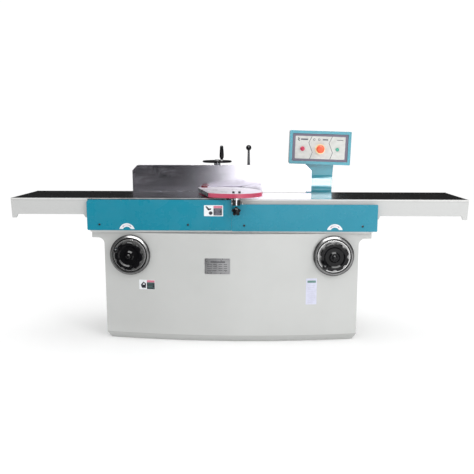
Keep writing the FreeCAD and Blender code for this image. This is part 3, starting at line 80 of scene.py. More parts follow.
# ---- Node helpers -----------------------------------------------------------------------------
class Material:
    """A principled material under construction, with its object coordinates at hand."""

    def __init__(self, name, color, roughness, metallic=0.0, coat=0.0, specular=0.5):
        self.data = bpy.data.materials.new(name)
        self.data.use_nodes = True
        self.tree = self.data.node_tree
        self.shader = self.tree.nodes["Principled BSDF"]
        self.set("Base Color", (*color, 1.0))
        self.set("Roughness", roughness)
        self.set("Metallic", metallic)
        self.set("Coat Weight", coat)
        self.set("Coat Roughness", 0.08)
        self.set("Specular IOR Level", specular)
        coordinates = self.add("ShaderNodeTexCoord")
        self.place = coordinates.outputs["Object"]
        self.normal = coordinates.outputs["Normal"]

    def add(self, kind, **settings):
        node = self.tree.nodes.new(kind)
        for key, value in settings.items():
            setattr(node, key, value)
        return node

    def set(self, socket, value):
        self.shader.inputs[socket].default_value = value

    def link(self, output, target):
        if isinstance(target, str):
            target = self.shader.inputs[target]
        self.tree.links.new(output, target)

    def stretched(self, scale):
        node = self.add("ShaderNodeMapping")
        node.inputs["Scale"].default_value = scale
        self.link(self.place, node.inputs["Vector"])
        return node.outputs["Vector"]

    def noise(self, scale, detail=4.0, roughness=0.55, stretch=None):
        node = self.add("ShaderNodeTexNoise")
        node.inputs["Scale"].default_value = scale
        node.inputs["Detail"].default_value = detail
        node.inputs["Roughness"].default_value = roughness
        self.link(self.stretched(stretch) if stretch else self.place, node.inputs["Vector"])
        return node.outputs["Fac"]

    def remap(self, value, low, high, to_low=0.0, to_high=1.0):
        node = self.add("ShaderNodeMapRange", clamp=True)
        for name, number in (("From Min", low), ("From Max", high), ("To Min", to_low),
                             ("To Max", to_high)):
            node.inputs[name].default_value = number
        self.link(value, node.inputs["Value"])
        return node.outputs["Result"]

    def math(self, operation, a, b=None):
        node = self.add("ShaderNodeMath", operation=operation)
        for index, value in enumerate((a, b)):
            if value is None:
                continue
            if isinstance(value, (int, float)):
                node.inputs[index].default_value = value
            else:
                self.link(value, node.inputs[index])
        return node.outputs[0]

    def mix(self, factor, a, b):
        node = self.add("ShaderNodeMix", data_type="RGBA")
        sockets = [s for s in node.inputs if s.type == "RGBA"]
        self.link(factor, node.inputs["Factor"])
        for socket, value in zip(sockets, (a, b)):
            if isinstance(value, tuple):
                socket.default_value = (*value, 1.0)
            else:
                self.link(value, socket)
        return [s for s in node.outputs if s.type == "RGBA"][0]

    def axis(self, name):
        node = self.add("ShaderNodeSeparateXYZ")
        self.link(self.place, node.inputs[0])
        return node.outputs[name]

    def facing(self, name):
        """Component of the surface normal along one of the piece's own axes."""
        node = self.add("ShaderNodeSeparateXYZ")
        self.link(self.normal, node.inputs[0])
        return node.outputs[name]

    def radius(self, first, second, centre):
        """Distance from a line through centre, measured in the plane of two axes."""
        squares = []
        for name, middle in zip((first, second), centre):
            offset = self.math("SUBTRACT", self.axis(name), middle)
            squares.append(self.math("MULTIPLY", offset, offset))
        return self.math("SQRT", self.math("ADD", *squares))

    def bands(self, value, full, stops):
        """Grey that changes at the stops; full is the value at the end of the ramp."""
        ramp = self.add("ShaderNodeValToRGB")
        elements = ramp.color_ramp.elements
        elements.remove(elements[1])
        for index, (place, grey) in enumerate(stops):
            element = elements[0] if index == 0 else elements.new(place / full)
            element.position = place / full
            element.color = (grey, grey, grey, 1)
        self.link(self.math("DIVIDE", value, full), ramp.inputs["Fac"])
        return ramp.outputs["Color"]

    def edges(self, radius=1.2 * MM):
        """1 on sharp edges, 0 on flat surfaces."""
        bevel = self.add("ShaderNodeBevel", samples=4)
        bevel.inputs["Radius"].default_value = radius
        dot = self.add("ShaderNodeVectorMath", operation="DOT_PRODUCT")
        self.link(bevel.outputs["Normal"], dot.inputs[0])
        self.link(self.add("ShaderNodeNewGeometry").outputs["Normal"], dot.inputs[1])
        return self.remap(dot.outputs["Value"], 0.97, 0.85)

    def bump(self, height, strength, distance):
        node = self.add("ShaderNodeBump")
        node.inputs["Strength"].default_value = strength
        node.inputs["Distance"].default_value = distance
        self.link(height, node.inputs["Height"])
        self.link(node.outputs["Normal"], "Normal")

    def rough(self, value, low, high):
        self.link(self.remap(value, 0.3, 0.7, low, high), "Roughness")


def shade(color, amount):
    return tuple(min(1.0, channel * amount) for channel in color)


# ---- Materials --------------------------------------------------------------------------------
def paint(name, color, roughness=0.32, coat=0.25, specular=0.5, fold=None):
    """Sprayed enamel: faint clouding, orange peel, rubbed edges; below a fold near the floor, painted shade
    on the inward-turned foot and a darker painted crease line.
    """
    m = Material(name, color, roughness, coat=coat, specular=specular)
    clouds = m.noise(2.2, 5.0)
    tone = m.mix(m.remap(clouds, 0.3, 0.7), shade(color, 0.95), shade(color, 1.04))
    rubbed = m.math("MULTIPLY", m.edges(), m.remap(m.noise(26.0, 6.0), 0.42, 0.62, 0.0, 0.5))
    tone = m.mix(rubbed, tone, shade(tuple(0.4 * c + 0.5 for c in color), 0.9))
    marks = m.noise(7.0, 8.0, 0.7, (1.0, 1.0, 0.35))
    tone = m.mix(m.remap(marks, 0.66, 0.78, 0.0, 0.14), tone, shade(color, 0.62))
    if fold:
        # Painted shade: the foot below the fold, which turns inward, is greyed, and a dark line marks the
        # crease.
        height = m.axis("Z")
        foot_shade = m.math("MULTIPLY", m.math("LESS_THAN", height, fold), m.remap(clouds, 0.2, 0.7, 0.5, 0.8))
        tone = m.mix(foot_shade, tone, shade(color, 0.78))
        crease = m.math("LESS_THAN", m.math("ABSOLUTE", m.math("SUBTRACT", height, fold)), 1.5 * MM)
        tone = m.mix(m.math("MULTIPLY", crease, 0.5), tone, shade(color, 0.55))
    m.link(tone, "Base Color")
    m.rough(m.noise(11.0, 6.0), roughness - 0.07, roughness + 0.1)
    m.bump(m.noise(900.0, 2.0), 0.05, 0.6 * MM)
    return m


def casting(name, color, roughness=0.5):
    """Painted iron casting with a pebbled skin."""
    m = Material(name, color, roughness, coat=0.1)
    skin = m.noise(160.0, 6.0, 0.65)
    tone = m.mix(m.remap(skin, 0.3, 0.7), shade(color, 0.86), shade(color, 1.08))
    rubbed = m.math("MULTIPLY", m.edges(), m.remap(m.noise(40.0), 0.4, 0.6, 0.0, 0.6))
    tone = m.mix(rubbed, tone, (0.42, 0.42, 0.42))
    m.link(tone, "Base Color")
    m.rough(m.noise(30.0), roughness - 0.08, roughness + 0.12)
    m.bump(skin, 0.22, 0.8 * MM)
    return m


def steel(name, color, roughness, stretch, lines=1.0, stain=0.0):
    """Bare metal with the fine lines of its last machining along one axis."""
    m = Material(name, color, roughness, metallic=1.0)
    grind = m.noise(14.0, 8.0, 0.7, stretch)
    blotch = m.noise(5.0, 6.0, 0.6)
    tone = m.mix(m.remap(grind, 0.3, 0.7), shade(color, 0.9), shade(color, 1.06))
    tone = m.mix(m.remap(blotch, 0.55, 0.75, 0.0, stain), tone, (0.16, 0.11, 0.07))
    m.link(tone, "Base Color")
    m.rough(grind, roughness * 0.8, roughness * 1.3)
    m.bump(grind, 0.12 * lines, 0.15 * MM)
    return m


def plastic(name, color, roughness=0.14, coat=0.1):
    """Moulded plastic or bakelite: glossy, with fine scuffs."""
    m = Material(name, color, roughness, coat=coat, specular=0.2)
    flow = m.noise(45.0, 5.0)
    tone = m.mix(m.remap(flow, 0.35, 0.7), shade(color, 0.85), shade(color, 1.2))
    scratch = m.remap(m.noise(60.0, 9.0, 0.8, (1.0, 4.0, 1.0)), 0.62, 0.75, 0.0, 0.06)
    tone = m.mix(scratch, tone, tuple(0.7 * c + 0.12 for c in color))
    m.link(tone, "Base Color")
    m.rough(m.noise(70.0, 6.0), roughness * 0.7, roughness + 0.16)
    m.bump(m.noise(300.0, 3.0), 0.03, 0.4 * MM)
    return m


def table_iron(name, top):
    """Ground top, bright edge band, and painted sides and underside, with painted shade in the groove under
    the band and along the left apron's top edge.
    """
    side = (0.52, 0.525, 0.52)
    m = Material(name, side, 0.4)
    grind = m.noise(3.0, 9.0, 0.75, (0.6, 90.0, 1.0))
    swirl = m.noise(9.0, 6.0, 0.6, (0.5, 3.0, 1.0))
    stain = m.remap(m.noise(3.1, 7.0, 0.6), 0.56, 0.76, 0.0, 0.35)
    metal = m.mix(m.remap(grind, 0.3, 0.7), (0.6, 0.6, 0.61), (0.72, 0.72, 0.73))
    metal = m.mix(stain, metal, (0.42, 0.38, 0.35))
    skin = m.noise(210.0, 5.0, 0.6)
    painted = m.mix(m.remap(skin, 0.3, 0.7), shade(side, 0.94), shade(side, 1.05))
    height = m.axis("Z")
    band = m.math("GREATER_THAN", height, top - TABLE_BAND)
    # The groove's dark grey is painted shade in the recess below the edge band.
    groove = m.math("MULTIPLY", m.math("GREATER_THAN", height, top - TABLE_BAND - TABLE_GROOVE),
                    m.math("LESS_THAN", height, top - TABLE_BAND))
    painted = m.mix(band, painted, (0.63, 0.63, 0.62))
    painted = m.mix(groove, painted, (0.36, 0.36, 0.35))
    # Near-black painted shade line just above the left apron's top edge.
    painted = m.mix(apron_shade_line(m, height), painted, (0.03, 0.03, 0.03))
    upward = m.math("GREATER_THAN", m.facing("Z"), 0.9)
    ground = m.math("MULTIPLY", upward, m.math("GREATER_THAN", height, top - 2 * MM))
    m.link(m.mix(ground, painted, metal), "Base Color")
    m.link(ground, "Metallic")
    polished = m.remap(m.math("ADD", m.math("MULTIPLY", grind, 0.6), m.math("MULTIPLY", swirl, 0.4)),
                       0.35, 0.65, 0.11, 0.21)
    matt = m.remap(skin, 0.3, 0.7, 0.4, 0.55)
    mixer = m.add("ShaderNodeMix", data_type="FLOAT")
    m.link(ground, mixer.inputs["Factor"])
    m.link(matt, mixer.inputs["A"])
    m.link(polished, mixer.inputs["B"])
    m.link(mixer.outputs["Result"], "Roughness")
    m.bump(m.math("ADD", m.math("MULTIPLY", grind, 0.35), m.math("MULTIPLY", skin, 0.3)), 0.06, 0.1 * MM)
    return m


def apron_shade_line(m, height):
    """Painted shade: a near-black line along the table side just above the left apron's top edge, where the
    apron meets the table.
    """
    low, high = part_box("apron_left")
    right_of_start = m.math("GREATER_THAN", m.axis("X"), low.x)
    left_of_end = m.math("LESS_THAN", m.axis("X"), high.x)
    thickness = m.remap(m.noise(12.0, 4.0), 0.3, 0.6, 1.0 * MM, 3.2 * MM)
    below = m.math("LESS_THAN", height, m.math("ADD", thickness, high.z))
    return m.math("MULTIPLY", m.math("MULTIPLY", right_of_start, left_of_end), below)


def wheel_mount_metal(name, node):
    """Turned handwheel mount: pale disc and ring; the black groove, the grey cone darkening outward and the
    dark rim are painted shade.
    """
    low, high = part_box(node)
    centre = ((low.x + high.x) / 2, (low.z + high.z) / 2)
    m = Material(name, (0.4, 0.4, 0.4), 0.3, metallic=0.8)
    radius = m.radius("X", "Z", centre)
    turning = m.add("ShaderNodeTexNoise")
    turning.inputs["Scale"].default_value = 1.0
    turning.inputs["Detail"].default_value = 6.0
    rings = m.add("ShaderNodeCombineXYZ")
    m.link(m.math("MULTIPLY", radius, 900.0), rings.inputs[0])
    m.link(rings.outputs[0], turning.inputs["Vector"])
    # Painted shade: black in the groove, and grey falling to near black across the cone to the rim where the
    # mount meets the cabinet.
    stops = ((0.0, 0.3), (84.4, 0.32), (85.0, 0.7), (88.4, 0.75), (88.7, 0.012), (94.6, 0.012),
             (95.2, 0.36), (99.0, 0.28), (105.0, 0.17), (107.5, 0.1), (108.5, 0.03))
    zones = m.bands(radius, 120 * MM, [(place * MM, grey) for place, grey in stops])
    tone = m.mix(m.remap(turning.outputs["Fac"], 0.3, 0.7, 0.0, 0.3), zones, (0.1, 0.1, 0.1))
    m.link(tone, "Base Color")
    m.rough(turning.outputs["Fac"], 0.2, 0.36)
    m.bump(turning.outputs["Fac"], 0.12, 0.2 * MM)
    return m


def guard_metal(name, node):
    """Pale plate with a crimson front edge and a dark red pad on its tail; the near-black left flank and the
    darker rear-facing sides are painted shade.
    """
    low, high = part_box(node)
    m = Material(name, (0.68, 0.65, 0.69), 0.3, coat=0.3)
    pale, red = (0.68, 0.65, 0.69), (0.5, 0.05, 0.11)
    wear = m.noise(14.0, 7.0, 0.65)
    top = m.mix(m.remap(wear, 0.35, 0.7), shade(pale, 0.9), shade(pale, 1.06))
    edge = m.mix(m.remap(wear, 0.3, 0.75), shade(red, 0.8), shade(red, 1.15))
    # Painted shade: the left-facing flank is near black, and rear-facing sides take a darker copy of the
    # pale.
    flank = m.mix(m.remap(wear, 0.3, 0.7), (0.012, 0.02, 0.017), (0.03, 0.045, 0.04))
    leftward = m.math("LESS_THAN", m.facing("X"), -0.8)
    rearward = m.math("GREATER_THAN", m.facing("Y"), 0.1)
    sides = m.mix(rearward, m.mix(leftward, edge, flank), shade(pale, 0.8))
    upward = m.math("GREATER_THAN", m.facing("Z"), 0.7)
    plate_top = m.mix(upward, sides, top)
    pad = m.math("GREATER_THAN", m.axis("Z"), high.z - TAIL_PAD_DEPTH)
    pad_red = m.mix(m.remap(wear, 0.3, 0.7), (0.1, 0.004, 0.012), (0.17, 0.012, 0.025))
    m.link(m.mix(pad, plate_top, pad_red), "Base Color")
    m.rough(wear, 0.22, 0.4)
    m.bump(m.noise(500.0, 2.0), 0.04, 0.4 * MM)
    return m


def two_finishes(name, base, other, where):
    """A metal or paint whose second finish covers the places where the mask is 1."""
    color, roughness, metallic = base
    m = Material(name, color, roughness, metallic=metallic, specular=0.25)
    mask = where(m)
    wear = m.noise(35.0, 7.0, 0.65)
    first = m.mix(m.remap(wear, 0.3, 0.7), shade(color, 0.9), shade(color, 1.06))
    second = m.mix(m.remap(wear, 0.3, 0.7), shade(other[0], 0.8), shade(other[0], 1.2))
    m.link(m.mix(mask, first, second), "Base Color")
    for socket, low, high in (("Roughness", roughness, other[1]), ("Metallic", metallic, other[2])):
        m.link(m.remap(mask, 0.0, 1.0, low, high), socket)
    m.bump(m.noise(260.0, 4.0), 0.04, 0.3 * MM)
    return m


BLACK_GLOSS = ((0.006, 0.006, 0.007), 0.16, 0.0)
POLISHED = ((0.7, 0.7, 0.72), 0.16, 1.0)


def fence_wheel_finish(node):
    """Bakelite rim on a polished hub with three spokes."""
    low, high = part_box(node)
    grip_foot = 14 * MM
    rim_inner = 65.5 * MM
    rim_half = 7 * MM
    rim_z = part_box("fence_wheel_handle")[0].z - grip_foot
    centre = ((low.x + high.x) / 2, (low.y + high.y) / 2)

    def rim(m):
        wide = m.math("GREATER_THAN", m.radius("X", "Y", centre), rim_inner)
        stem = m.math("GREATER_THAN", m.axis("Z"), rim_z + rim_half)
        return m.math("MULTIPLY", wide, m.math("SUBTRACT", 1.0, stem))

    return two_finishes("fence_wheel_metal", POLISHED, BLACK_GLOSS, rim)


def lever_finish(node):
    """Dark steel rod with a black ball."""
    ball_height = 35 * MM
    ball_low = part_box(node)[1].z - ball_height
    return two_finishes("lever_metal", ((0.16, 0.16, 0.17), 0.25, 1.0), BLACK_GLOSS,
                        lambda m: m.math("GREATER_THAN", m.axis("Z"), ball_low))


def wheel_shaft_finish(node):
    """Ground shaft whose front end, inside and before the wheel, is blackened."""
    wheel_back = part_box(node.replace("wheel_shaft", "handwheel"))[1].y
    return two_finishes(node + "_metal", POLISHED, BLACK_GLOSS,
                        lambda m: m.math("LESS_THAN", m.axis("Y"), wheel_back))


def guard_bracket_finish(node):
    """Blackened fork on a socket painted like the apron behind it."""
    fork_height = 29 * MM
    fork_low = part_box(node)[1].z - fork_height
    return two_finishes("guard_bracket_paint", ((0.012, 0.013, 0.014), 0.3, 0.0),
                        (TEAL, 0.28, 0.0), lambda m: m.math("LESS_THAN", m.axis("Z"), fork_low))


def fence_ground(name):
    """Ground fence face: fine lengthwise lines, faint stains and duller smears of handling."""
    stretch = (0.5, 60.0, 60.0)
    m = steel(name, (0.77, 0.75, 0.84), 0.13, stretch, 0.5, 0.04)
    smears = m.remap(m.noise(6.5, 7.0, 0.65, (0.6, 1.0, 1.5)), 0.52, 0.72)
    lines = m.remap(m.noise(14.0, 8.0, 0.7, stretch), 0.3, 0.7, 0.1, 0.165)
    m.link(m.math("ADD", lines, m.math("MULTIPLY", smears, 0.11)), "Roughness")
    return m


TEAL = (0.001, 0.222, 0.322)
CABINET_GREY = (0.515, 0.522, 0.512)
MATERIALS = {
    "cabinet_paint": lambda: paint("cabinet_enamel", CABINET_GREY, 0.36, 0.15),
    "bed_paint": lambda: paint("bed_enamel", (0.58, 0.585, 0.58), 0.36, 0.15),
    "apron_paint": lambda: paint("teal_enamel", TEAL, 0.26, 0.0, 0.4),
    "arm_paint": lambda: paint("teal_arm_enamel", (0.03, 0.27, 0.35), 0.2, 0.9),
    "plate_paint": lambda: paint("panel_border", (0.13, 0.11, 0.16), 0.4, 0.1),
    "fence_steel": lambda: fence_ground("fence_ground_steel"),
    "cast_grey": lambda: casting("grey_casting", (0.5, 0.51, 0.51)),
    "bright_steel": lambda: steel("polished_steel", (0.78, 0.78, 0.8), 0.1, (40.0, 40.0, 4.0), 0.5),
    "tool_steel": lambda: steel("machined_steel", (0.52, 0.52, 0.54), 0.24, (4.0, 60.0, 60.0), 1.0, 0.1),
    "gear_steel": lambda: steel("oiled_gear_steel", (0.42, 0.4, 0.38), 0.28, (60.0, 4.0, 60.0), 1.0, 0.4),
    "bush_bronze": lambda: steel("bronze", (0.6, 0.4, 0.17), 0.26, (60.0, 4.0, 60.0), 1.0, 0.2),
    "black_handle": lambda: plastic("black_bakelite", (0.004, 0.004, 0.005), 0.11),
    "belt_rubber": lambda: plastic("belt_rubber", (0.025, 0.025, 0.025), 0.6, 0.0),
    "motor_paint": lambda: casting("motor_enamel", (0.09, 0.15, 0.24), 0.42),
    "sheet_zinc": lambda: steel("zinc_sheet", (0.55, 0.57, 0.58), 0.35, (8.0, 8.0, 30.0), 0.6, 0.1),
    "bolt_black": lambda: steel("blackened_steel", (0.05, 0.05, 0.055), 0.3, (30.0, 30.0, 30.0), 0.8),
    "stop_red": lambda: plastic("stop_red", (0.85, 0.12, 0.05), 0.28, 0.3),
    "start_green": lambda: plastic("start_green", (0.06, 0.33, 0.24), 0.25, 0.4),
    "lamp_red": lambda: plastic("lamp_red", (0.5, 0.03, 0.08), 0.12, 0.6),
    "gland_plastic": lambda: plastic("gland_black", (0.03, 0.03, 0.03), 0.5, 0.0),
}


def dress_cad_nodes():
    """Give every carried-over node its material, rounded edges and clean shading."""
    made = {}
    slots = {part["node"]: part["material_slot"] for part in frame["record"]["subparts"]}
    for name, node in NODES.items():
        slot = slots[name]
        if name in ("infeed_table", "outfeed_table"):
            material = table_iron(name + "_iron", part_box(name)[1].z)
        elif name.startswith("handwheel_mount"):
            material = wheel_mount_metal(name + "_metal", name)
        elif name == "guard_plate":
            material = guard_metal("guard_enamel", name)
        elif name == "cabinet_front":
            material = paint("cabinet_front_enamel", CABINET_GREY, 0.36, 0.15, fold=KICK_FOLD)
        elif name == "guard_bracket":
            material = guard_bracket_finish(name)
        elif name == "fence_handwheel":
            material = fence_wheel_finish(name)
        elif name == "fence_lock_lever":
            material = lever_finish(name)
        elif name.startswith("wheel_shaft"):
            material = wheel_shaft_finish(name)
        else:
            if slot not in made:
                made[slot] = MATERIALS[slot]()
            material = made[slot]
        node.data.materials.clear()
        node.data.materials.append(material.data)
        round_edges(node, EDGE_ROUND.get(name, 0.8 * MM))


EDGE_ROUND = {
    "infeed_table": 1.2 * MM, "outfeed_table": 1.2 * MM, "fence_plate": 1.0 * MM,
    "apron_left": 1.2 * MM, "apron_right": 1.2 * MM, "bed_frame": 2.0 * MM,
    "control_box": 2.0 * MM, "fence_bracket": 2.5 * MM, "guard_bracket": 1.5 * MM,
    "guard_knob": 2.0 * MM, "handwheel_left": 1.5 * MM, "handwheel_right": 1.5 * MM,
}


def round_edges(node, width):
    weld = node.modifiers.new("weld", "WELD")
    weld.merge_threshold = 0.01 * MM
    tidy = node.modifiers.new("tidy", "DECIMATE")
    tidy.decimate_type = "DISSOLVE"
    tidy.angle_limit = math.radians(0.5)
    bevel = node.modifiers.new("round", "BEVEL")
    bevel.width = width
    bevel.segments = 2
    bevel.limit_method = "ANGLE"
    bevel.angle_limit = math.radians(35)
    bevel.use_clamp_overlap = True
    bevel.harden_normals = False
    bevel.miter_outer = "MITER_SHARP"
    flat = node.modifiers.new("flat", "WEIGHTED_NORMAL")
    flat.mode = "FACE_AREA"
    flat.weight = 100


# ---- Labels and plates ------------------------------------------------------------------------
def on_apron(x, z, height):
    return Vector((x, APRON_Y - height, z))


def on_cabinet(x, z, height):
    """Place on the cabinet's front sheet, which bows forward in plan."""
    bow = BOW_R - math.sqrt(BOW_R ** 2 - (x - CABINET_X) ** 2)
    return Vector((x, CABINET_LOW.y + bow - height, z))


def on_panel(u, v, height):
    """Place on the control plate, measured from its middle and leaned as the box leans."""
    x = PANEL_X + u * math.cos(PANEL_LEAN) + v * math.sin(PANEL_LEAN)
    z = PANEL_Z - u * math.sin(PANEL_LEAN) + v * math.cos(PANEL_LEAN)
    return Vector((x, PANEL_LOW.y - height, z))


def rectangle(left, bottom, right, top, radius=0.0):
    if not radius:
        return [(left, bottom), (right, bottom), (right, top), (left, top)]
    points = []
    corners = ((right - radius, bottom + radius, -90), (right - radius, top - radius, 0),
               (left + radius, top - radius, 90), (left + radius, bottom + radius, 180))
    for x, z, start in corners:
        points += [polar(x, z, radius, start + 22.5 * step) for step in range(5)]
    return points


def polar(x, z, radius, degrees):
    angle = math.radians(degrees)
    return (x + radius * math.cos(angle), z + radius * math.sin(angle))


def disc(x, z, radius, count=32):
    return [polar(x, z, radius, 360 * step / count) for step in range(count)]


def arc_band(x, z, inner, outer, first, last, count=36):
    angles = [first + (last - first) * step / count for step in range(count + 1)]
    return ([polar(x, z, outer, a) for a in angles] + [polar(x, z, inner, a) for a in reversed(angles)])


class Label:
    """A thin piece built of flat sheets that lie on one surface, each with its own finish."""

    def __init__(self, name, surface, slice_width=0.0):
        self.name, self.surface, self.slice_width = name, surface, slice_width
        self.bm = bmesh.new()
        self.finishes = []

    def sheet(self, outline, low, high, finish):
        if finish not in self.finishes:
            self.finishes.append(finish)
        part = bmesh.new()
        back = [part.verts.new((u, -low, v)) for u, v in outline]
        front = [part.verts.new((u, -high, v)) for u, v in outline]
        part.faces.new(front)
        part.faces.new(list(reversed(back)))
        for index in range(len(outline)):
            after = (index + 1) % len(outline)
            part.faces.new((front[index], back[index], back[after], front[after]))
        if self.slice_width:
            self.slice(part)
        bmesh.ops.recalc_face_normals(part, faces=part.faces)
        for face in part.faces:
            face.material_index = self.finishes.index(finish)
        for vert in part.verts:
            vert.co = self.surface(vert.co.x, vert.co.z, -vert.co.y)
        copy = bpy.data.meshes.new("part")
        part.to_mesh(copy)
        self.bm.from_mesh(copy)
        bpy.data.meshes.remove(copy)
        part.free()

    def slice(self, part):
        """Cut a sheet into upright strips, so that it can follow a bowed surface."""
        left = min(vert.co.x for vert in part.verts)
        right = max(vert.co.x for vert in part.verts)
        for step in range(1, int((right - left) / self.slice_width) + 1):
            geometry = part.verts[:] + part.edges[:] + part.faces[:]
            bmesh.ops.bisect_plane(part, geom=geometry, plane_co=(left + step * self.slice_width, 0, 0),
                                   plane_no=(1, 0, 0))

    def finish(self, body, slot):
        mesh = bpy.data.meshes.new(self.name)
        self.bm.to_mesh(mesh)
        self.bm.free()
        piece = bpy.data.objects.new(self.name, mesh)
        bpy.context.scene.collection.objects.link(piece)
        for finish in self.finishes:
            mesh.materials.append(ink(finish))
        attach(piece, body)
        return piece


INKS = {
    "white_film": ((0.76, 0.78, 0.8), 0.28, 0.0), "lilac_film": ((0.6, 0.61, 0.74), 0.32, 0.0),
    "black_ink": ((0.02, 0.02, 0.03), 0.4, 0.0),
    "pink_ink": ((0.62, 0.16, 0.24), 0.36, 0.0), "green_ink": ((0.12, 0.24, 0.22), 0.4, 0.0),
    "mauve_ink": ((0.36, 0.2, 0.34), 0.4, 0.0), "pale_ink": ((0.5, 0.5, 0.62), 0.4, 0.0),
    "panel_film": ((0.55, 0.555, 0.53), 0.3, 0.0), "line_ink": ((0.07, 0.07, 0.09), 0.4, 0.0),
    "yellow_ink": ((0.9, 0.78, 0.42), 0.35, 0.0), "nickel": ((0.42, 0.42, 0.43), 0.3, 1.0),
    "etched": ((0.13, 0.13, 0.14), 0.45, 0.6),
}
INK_MADE = {}


def ink(name):
    """Printed film or etched plate: faint fibre and gloss changes, a little dirt."""
    if name not in INK_MADE:
        color, roughness, metallic = INKS[name]
        m = Material("label_" + name, color, roughness, metallic=metallic)
        grime = m.noise(30.0, 7.0, 0.65)
        tone = m.mix(m.remap(grime, 0.3, 0.7), shade(color, 0.88), shade(color, 1.07))
        m.link(tone, "Base Color")
        m.rough(m.noise(55.0, 5.0), roughness - 0.06, roughness + 0.12)
        m.bump(m.noise(420.0, 3.0), 0.05, 0.2 * MM)
        INK_MADE[name] = m.data
    return INK_MADE[name]


FILM = 0.3 * MM
PRINT = 0.08 * MM


def direction_label(name, centre_x):
    """White arc above each handwheel with a two-way arrow."""
    radius_out, radius_in, drop = 43.6 * MM, 24.5 * MM, 11.3 * MM
    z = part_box("apron_left")[0].z + 7 * MM - drop
    label = Label(name, on_apron)
    last_out = math.degrees(math.asin(drop / radius_out))
    last_in = math.degrees(math.asin(drop / radius_in))
    count = 32
    outline = [polar(centre_x, z, radius_out, last_out + (180 - 2 * last_out) * i / count)
               for i in range(count + 1)]
    outline += [polar(centre_x, z, radius_in, 180 - last_in - (180 - 2 * last_in) * i / count)
                for i in range(count + 1)]
    label.sheet(outline, 0, FILM, "white_film")
    middle = (radius_out + radius_in) / 2
    shaft = arc_band(centre_x, z, middle - 1 * MM, middle + 1 * MM, 56, 124)
    label.sheet(shaft, FILM, FILM + PRINT, "mauve_ink")
    for side in (1, -1):
        barb = 90 + side * 33
        head = [polar(centre_x, z, middle, 90 + side * 47),
                polar(centre_x, z, middle + 4.5 * MM, barb),
                polar(centre_x, z, middle - 4.5 * MM, barb)]
        label.sheet(head, FILM, FILM + PRINT, "mauve_ink")
    label.finish("root", "plate_paint")


def rows(label, left, right, bottom, top, count, finish, fill=0.5):
    """Even bars standing for lines of print, each a little shorter than the last."""
    pitch = (top - bottom) / count
    for index in range(count):
        z = top - (index + 0.5) * pitch
        end = right - (right - left) * 0.12 * (index % 3)
        label.sheet(rectangle(left, z - pitch * fill / 2, end, z + pitch * fill / 2),
                    FILM + PRINT, FILM + 2 * PRINT, finish)


def apron_label():
    left, right = -180 * MM, -76 * MM
    bottom, top = 705 * MM, 765 * MM
    wide, tall = right - left, top - bottom
    label = Label("apron_plate_generic", on_apron)

    def at(u, v):
        return (left + u * wide, bottom + v * tall)

    label.sheet(rectangle(left, bottom, right, top, 3 * MM), 0, FILM, "white_film")
    hand = [at(0.08, 0.86), at(0.12, 0.93), at(0.27, 0.7), at(0.38, 0.72), at(0.37, 0.59), at(0.22, 0.52)]
    label.sheet(hand, FILM, FILM + PRINT, "black_ink")
    label.sheet(disc(*at(0.35, 0.28), 10 * MM), FILM, FILM + PRINT, "black_ink")
    label.sheet(rectangle(*at(0.5, 0.07), *at(0.94, 0.72)), FILM, FILM + PRINT, "black_ink")
    label.sheet(rectangle(*at(0.5, 0.74), *at(0.96, 0.94), 2 * MM), FILM, FILM + PRINT, "pink_ink")
    rows(label, *[at(0.55, 0)[0], at(0.9, 0)[0], at(0, 0.12)[1], at(0, 0.66)[1]], 5, "pale_ink", 0.2)
    label.finish("root", "plate_paint")


def cabinet_label():
    left, right = -546 * MM, -456 * MM
    bottom, top = 292 * MM, 347 * MM
    wide, tall = right - left, top - bottom
    label = Label("cabinet_plate_generic", on_cabinet, 12 * MM)

    def at(u, v):
        return (left + u * wide, bottom + v * tall)

    label.sheet(rectangle(left, bottom, right, top, 3 * MM), 0, FILM, "white_film")
    label.sheet([at(0.17, 0.15), at(0.42, 0.15), at(0.44, 0.6), at(0.27, 0.8), at(0.1, 0.47)],
                FILM, FILM + PRINT, "black_ink")
    label.sheet([at(0.22, 0.48), at(0.37, 0.5), at(0.3, 0.68)], FILM + PRINT, FILM + 2 * PRINT, "white_film")
    label.sheet(rectangle(*at(0.49, 0.03), *at(0.98, 0.74)), FILM, FILM + PRINT, "black_ink")
    label.sheet(rectangle(*at(0.49, 0.76), *at(0.98, 0.96), 2 * MM), FILM, FILM + PRINT, "pink_ink")
    rows(label, *[at(0.54, 0)[0], at(0.94, 0)[0], at(0, 0.1)[1], at(0, 0.68)[1]], 4, "green_ink", 0.3)
    label.finish("root", "plate_paint")


def data_label():
    left, right = 380 * MM, 440 * MM
    bottom, top = 214 * MM, 362 * MM
    label = Label("data_label_generic", on_cabinet, 12 * MM)
    label.sheet(rectangle(left, bottom, right, top, 3 * MM), 0, FILM, "lilac_film")
    label.sheet(rectangle(left + 8 * MM, top - 25 * MM, right - 5 * MM, top - 12 * MM, 2 * MM),
                FILM, FILM + PRINT, "green_ink")
    rows(label, left + 9 * MM, right - 8 * MM, bottom + 8 * MM, top - 36 * MM, 9, "pale_ink", 0.22)
    label.finish("root", "plate_paint")


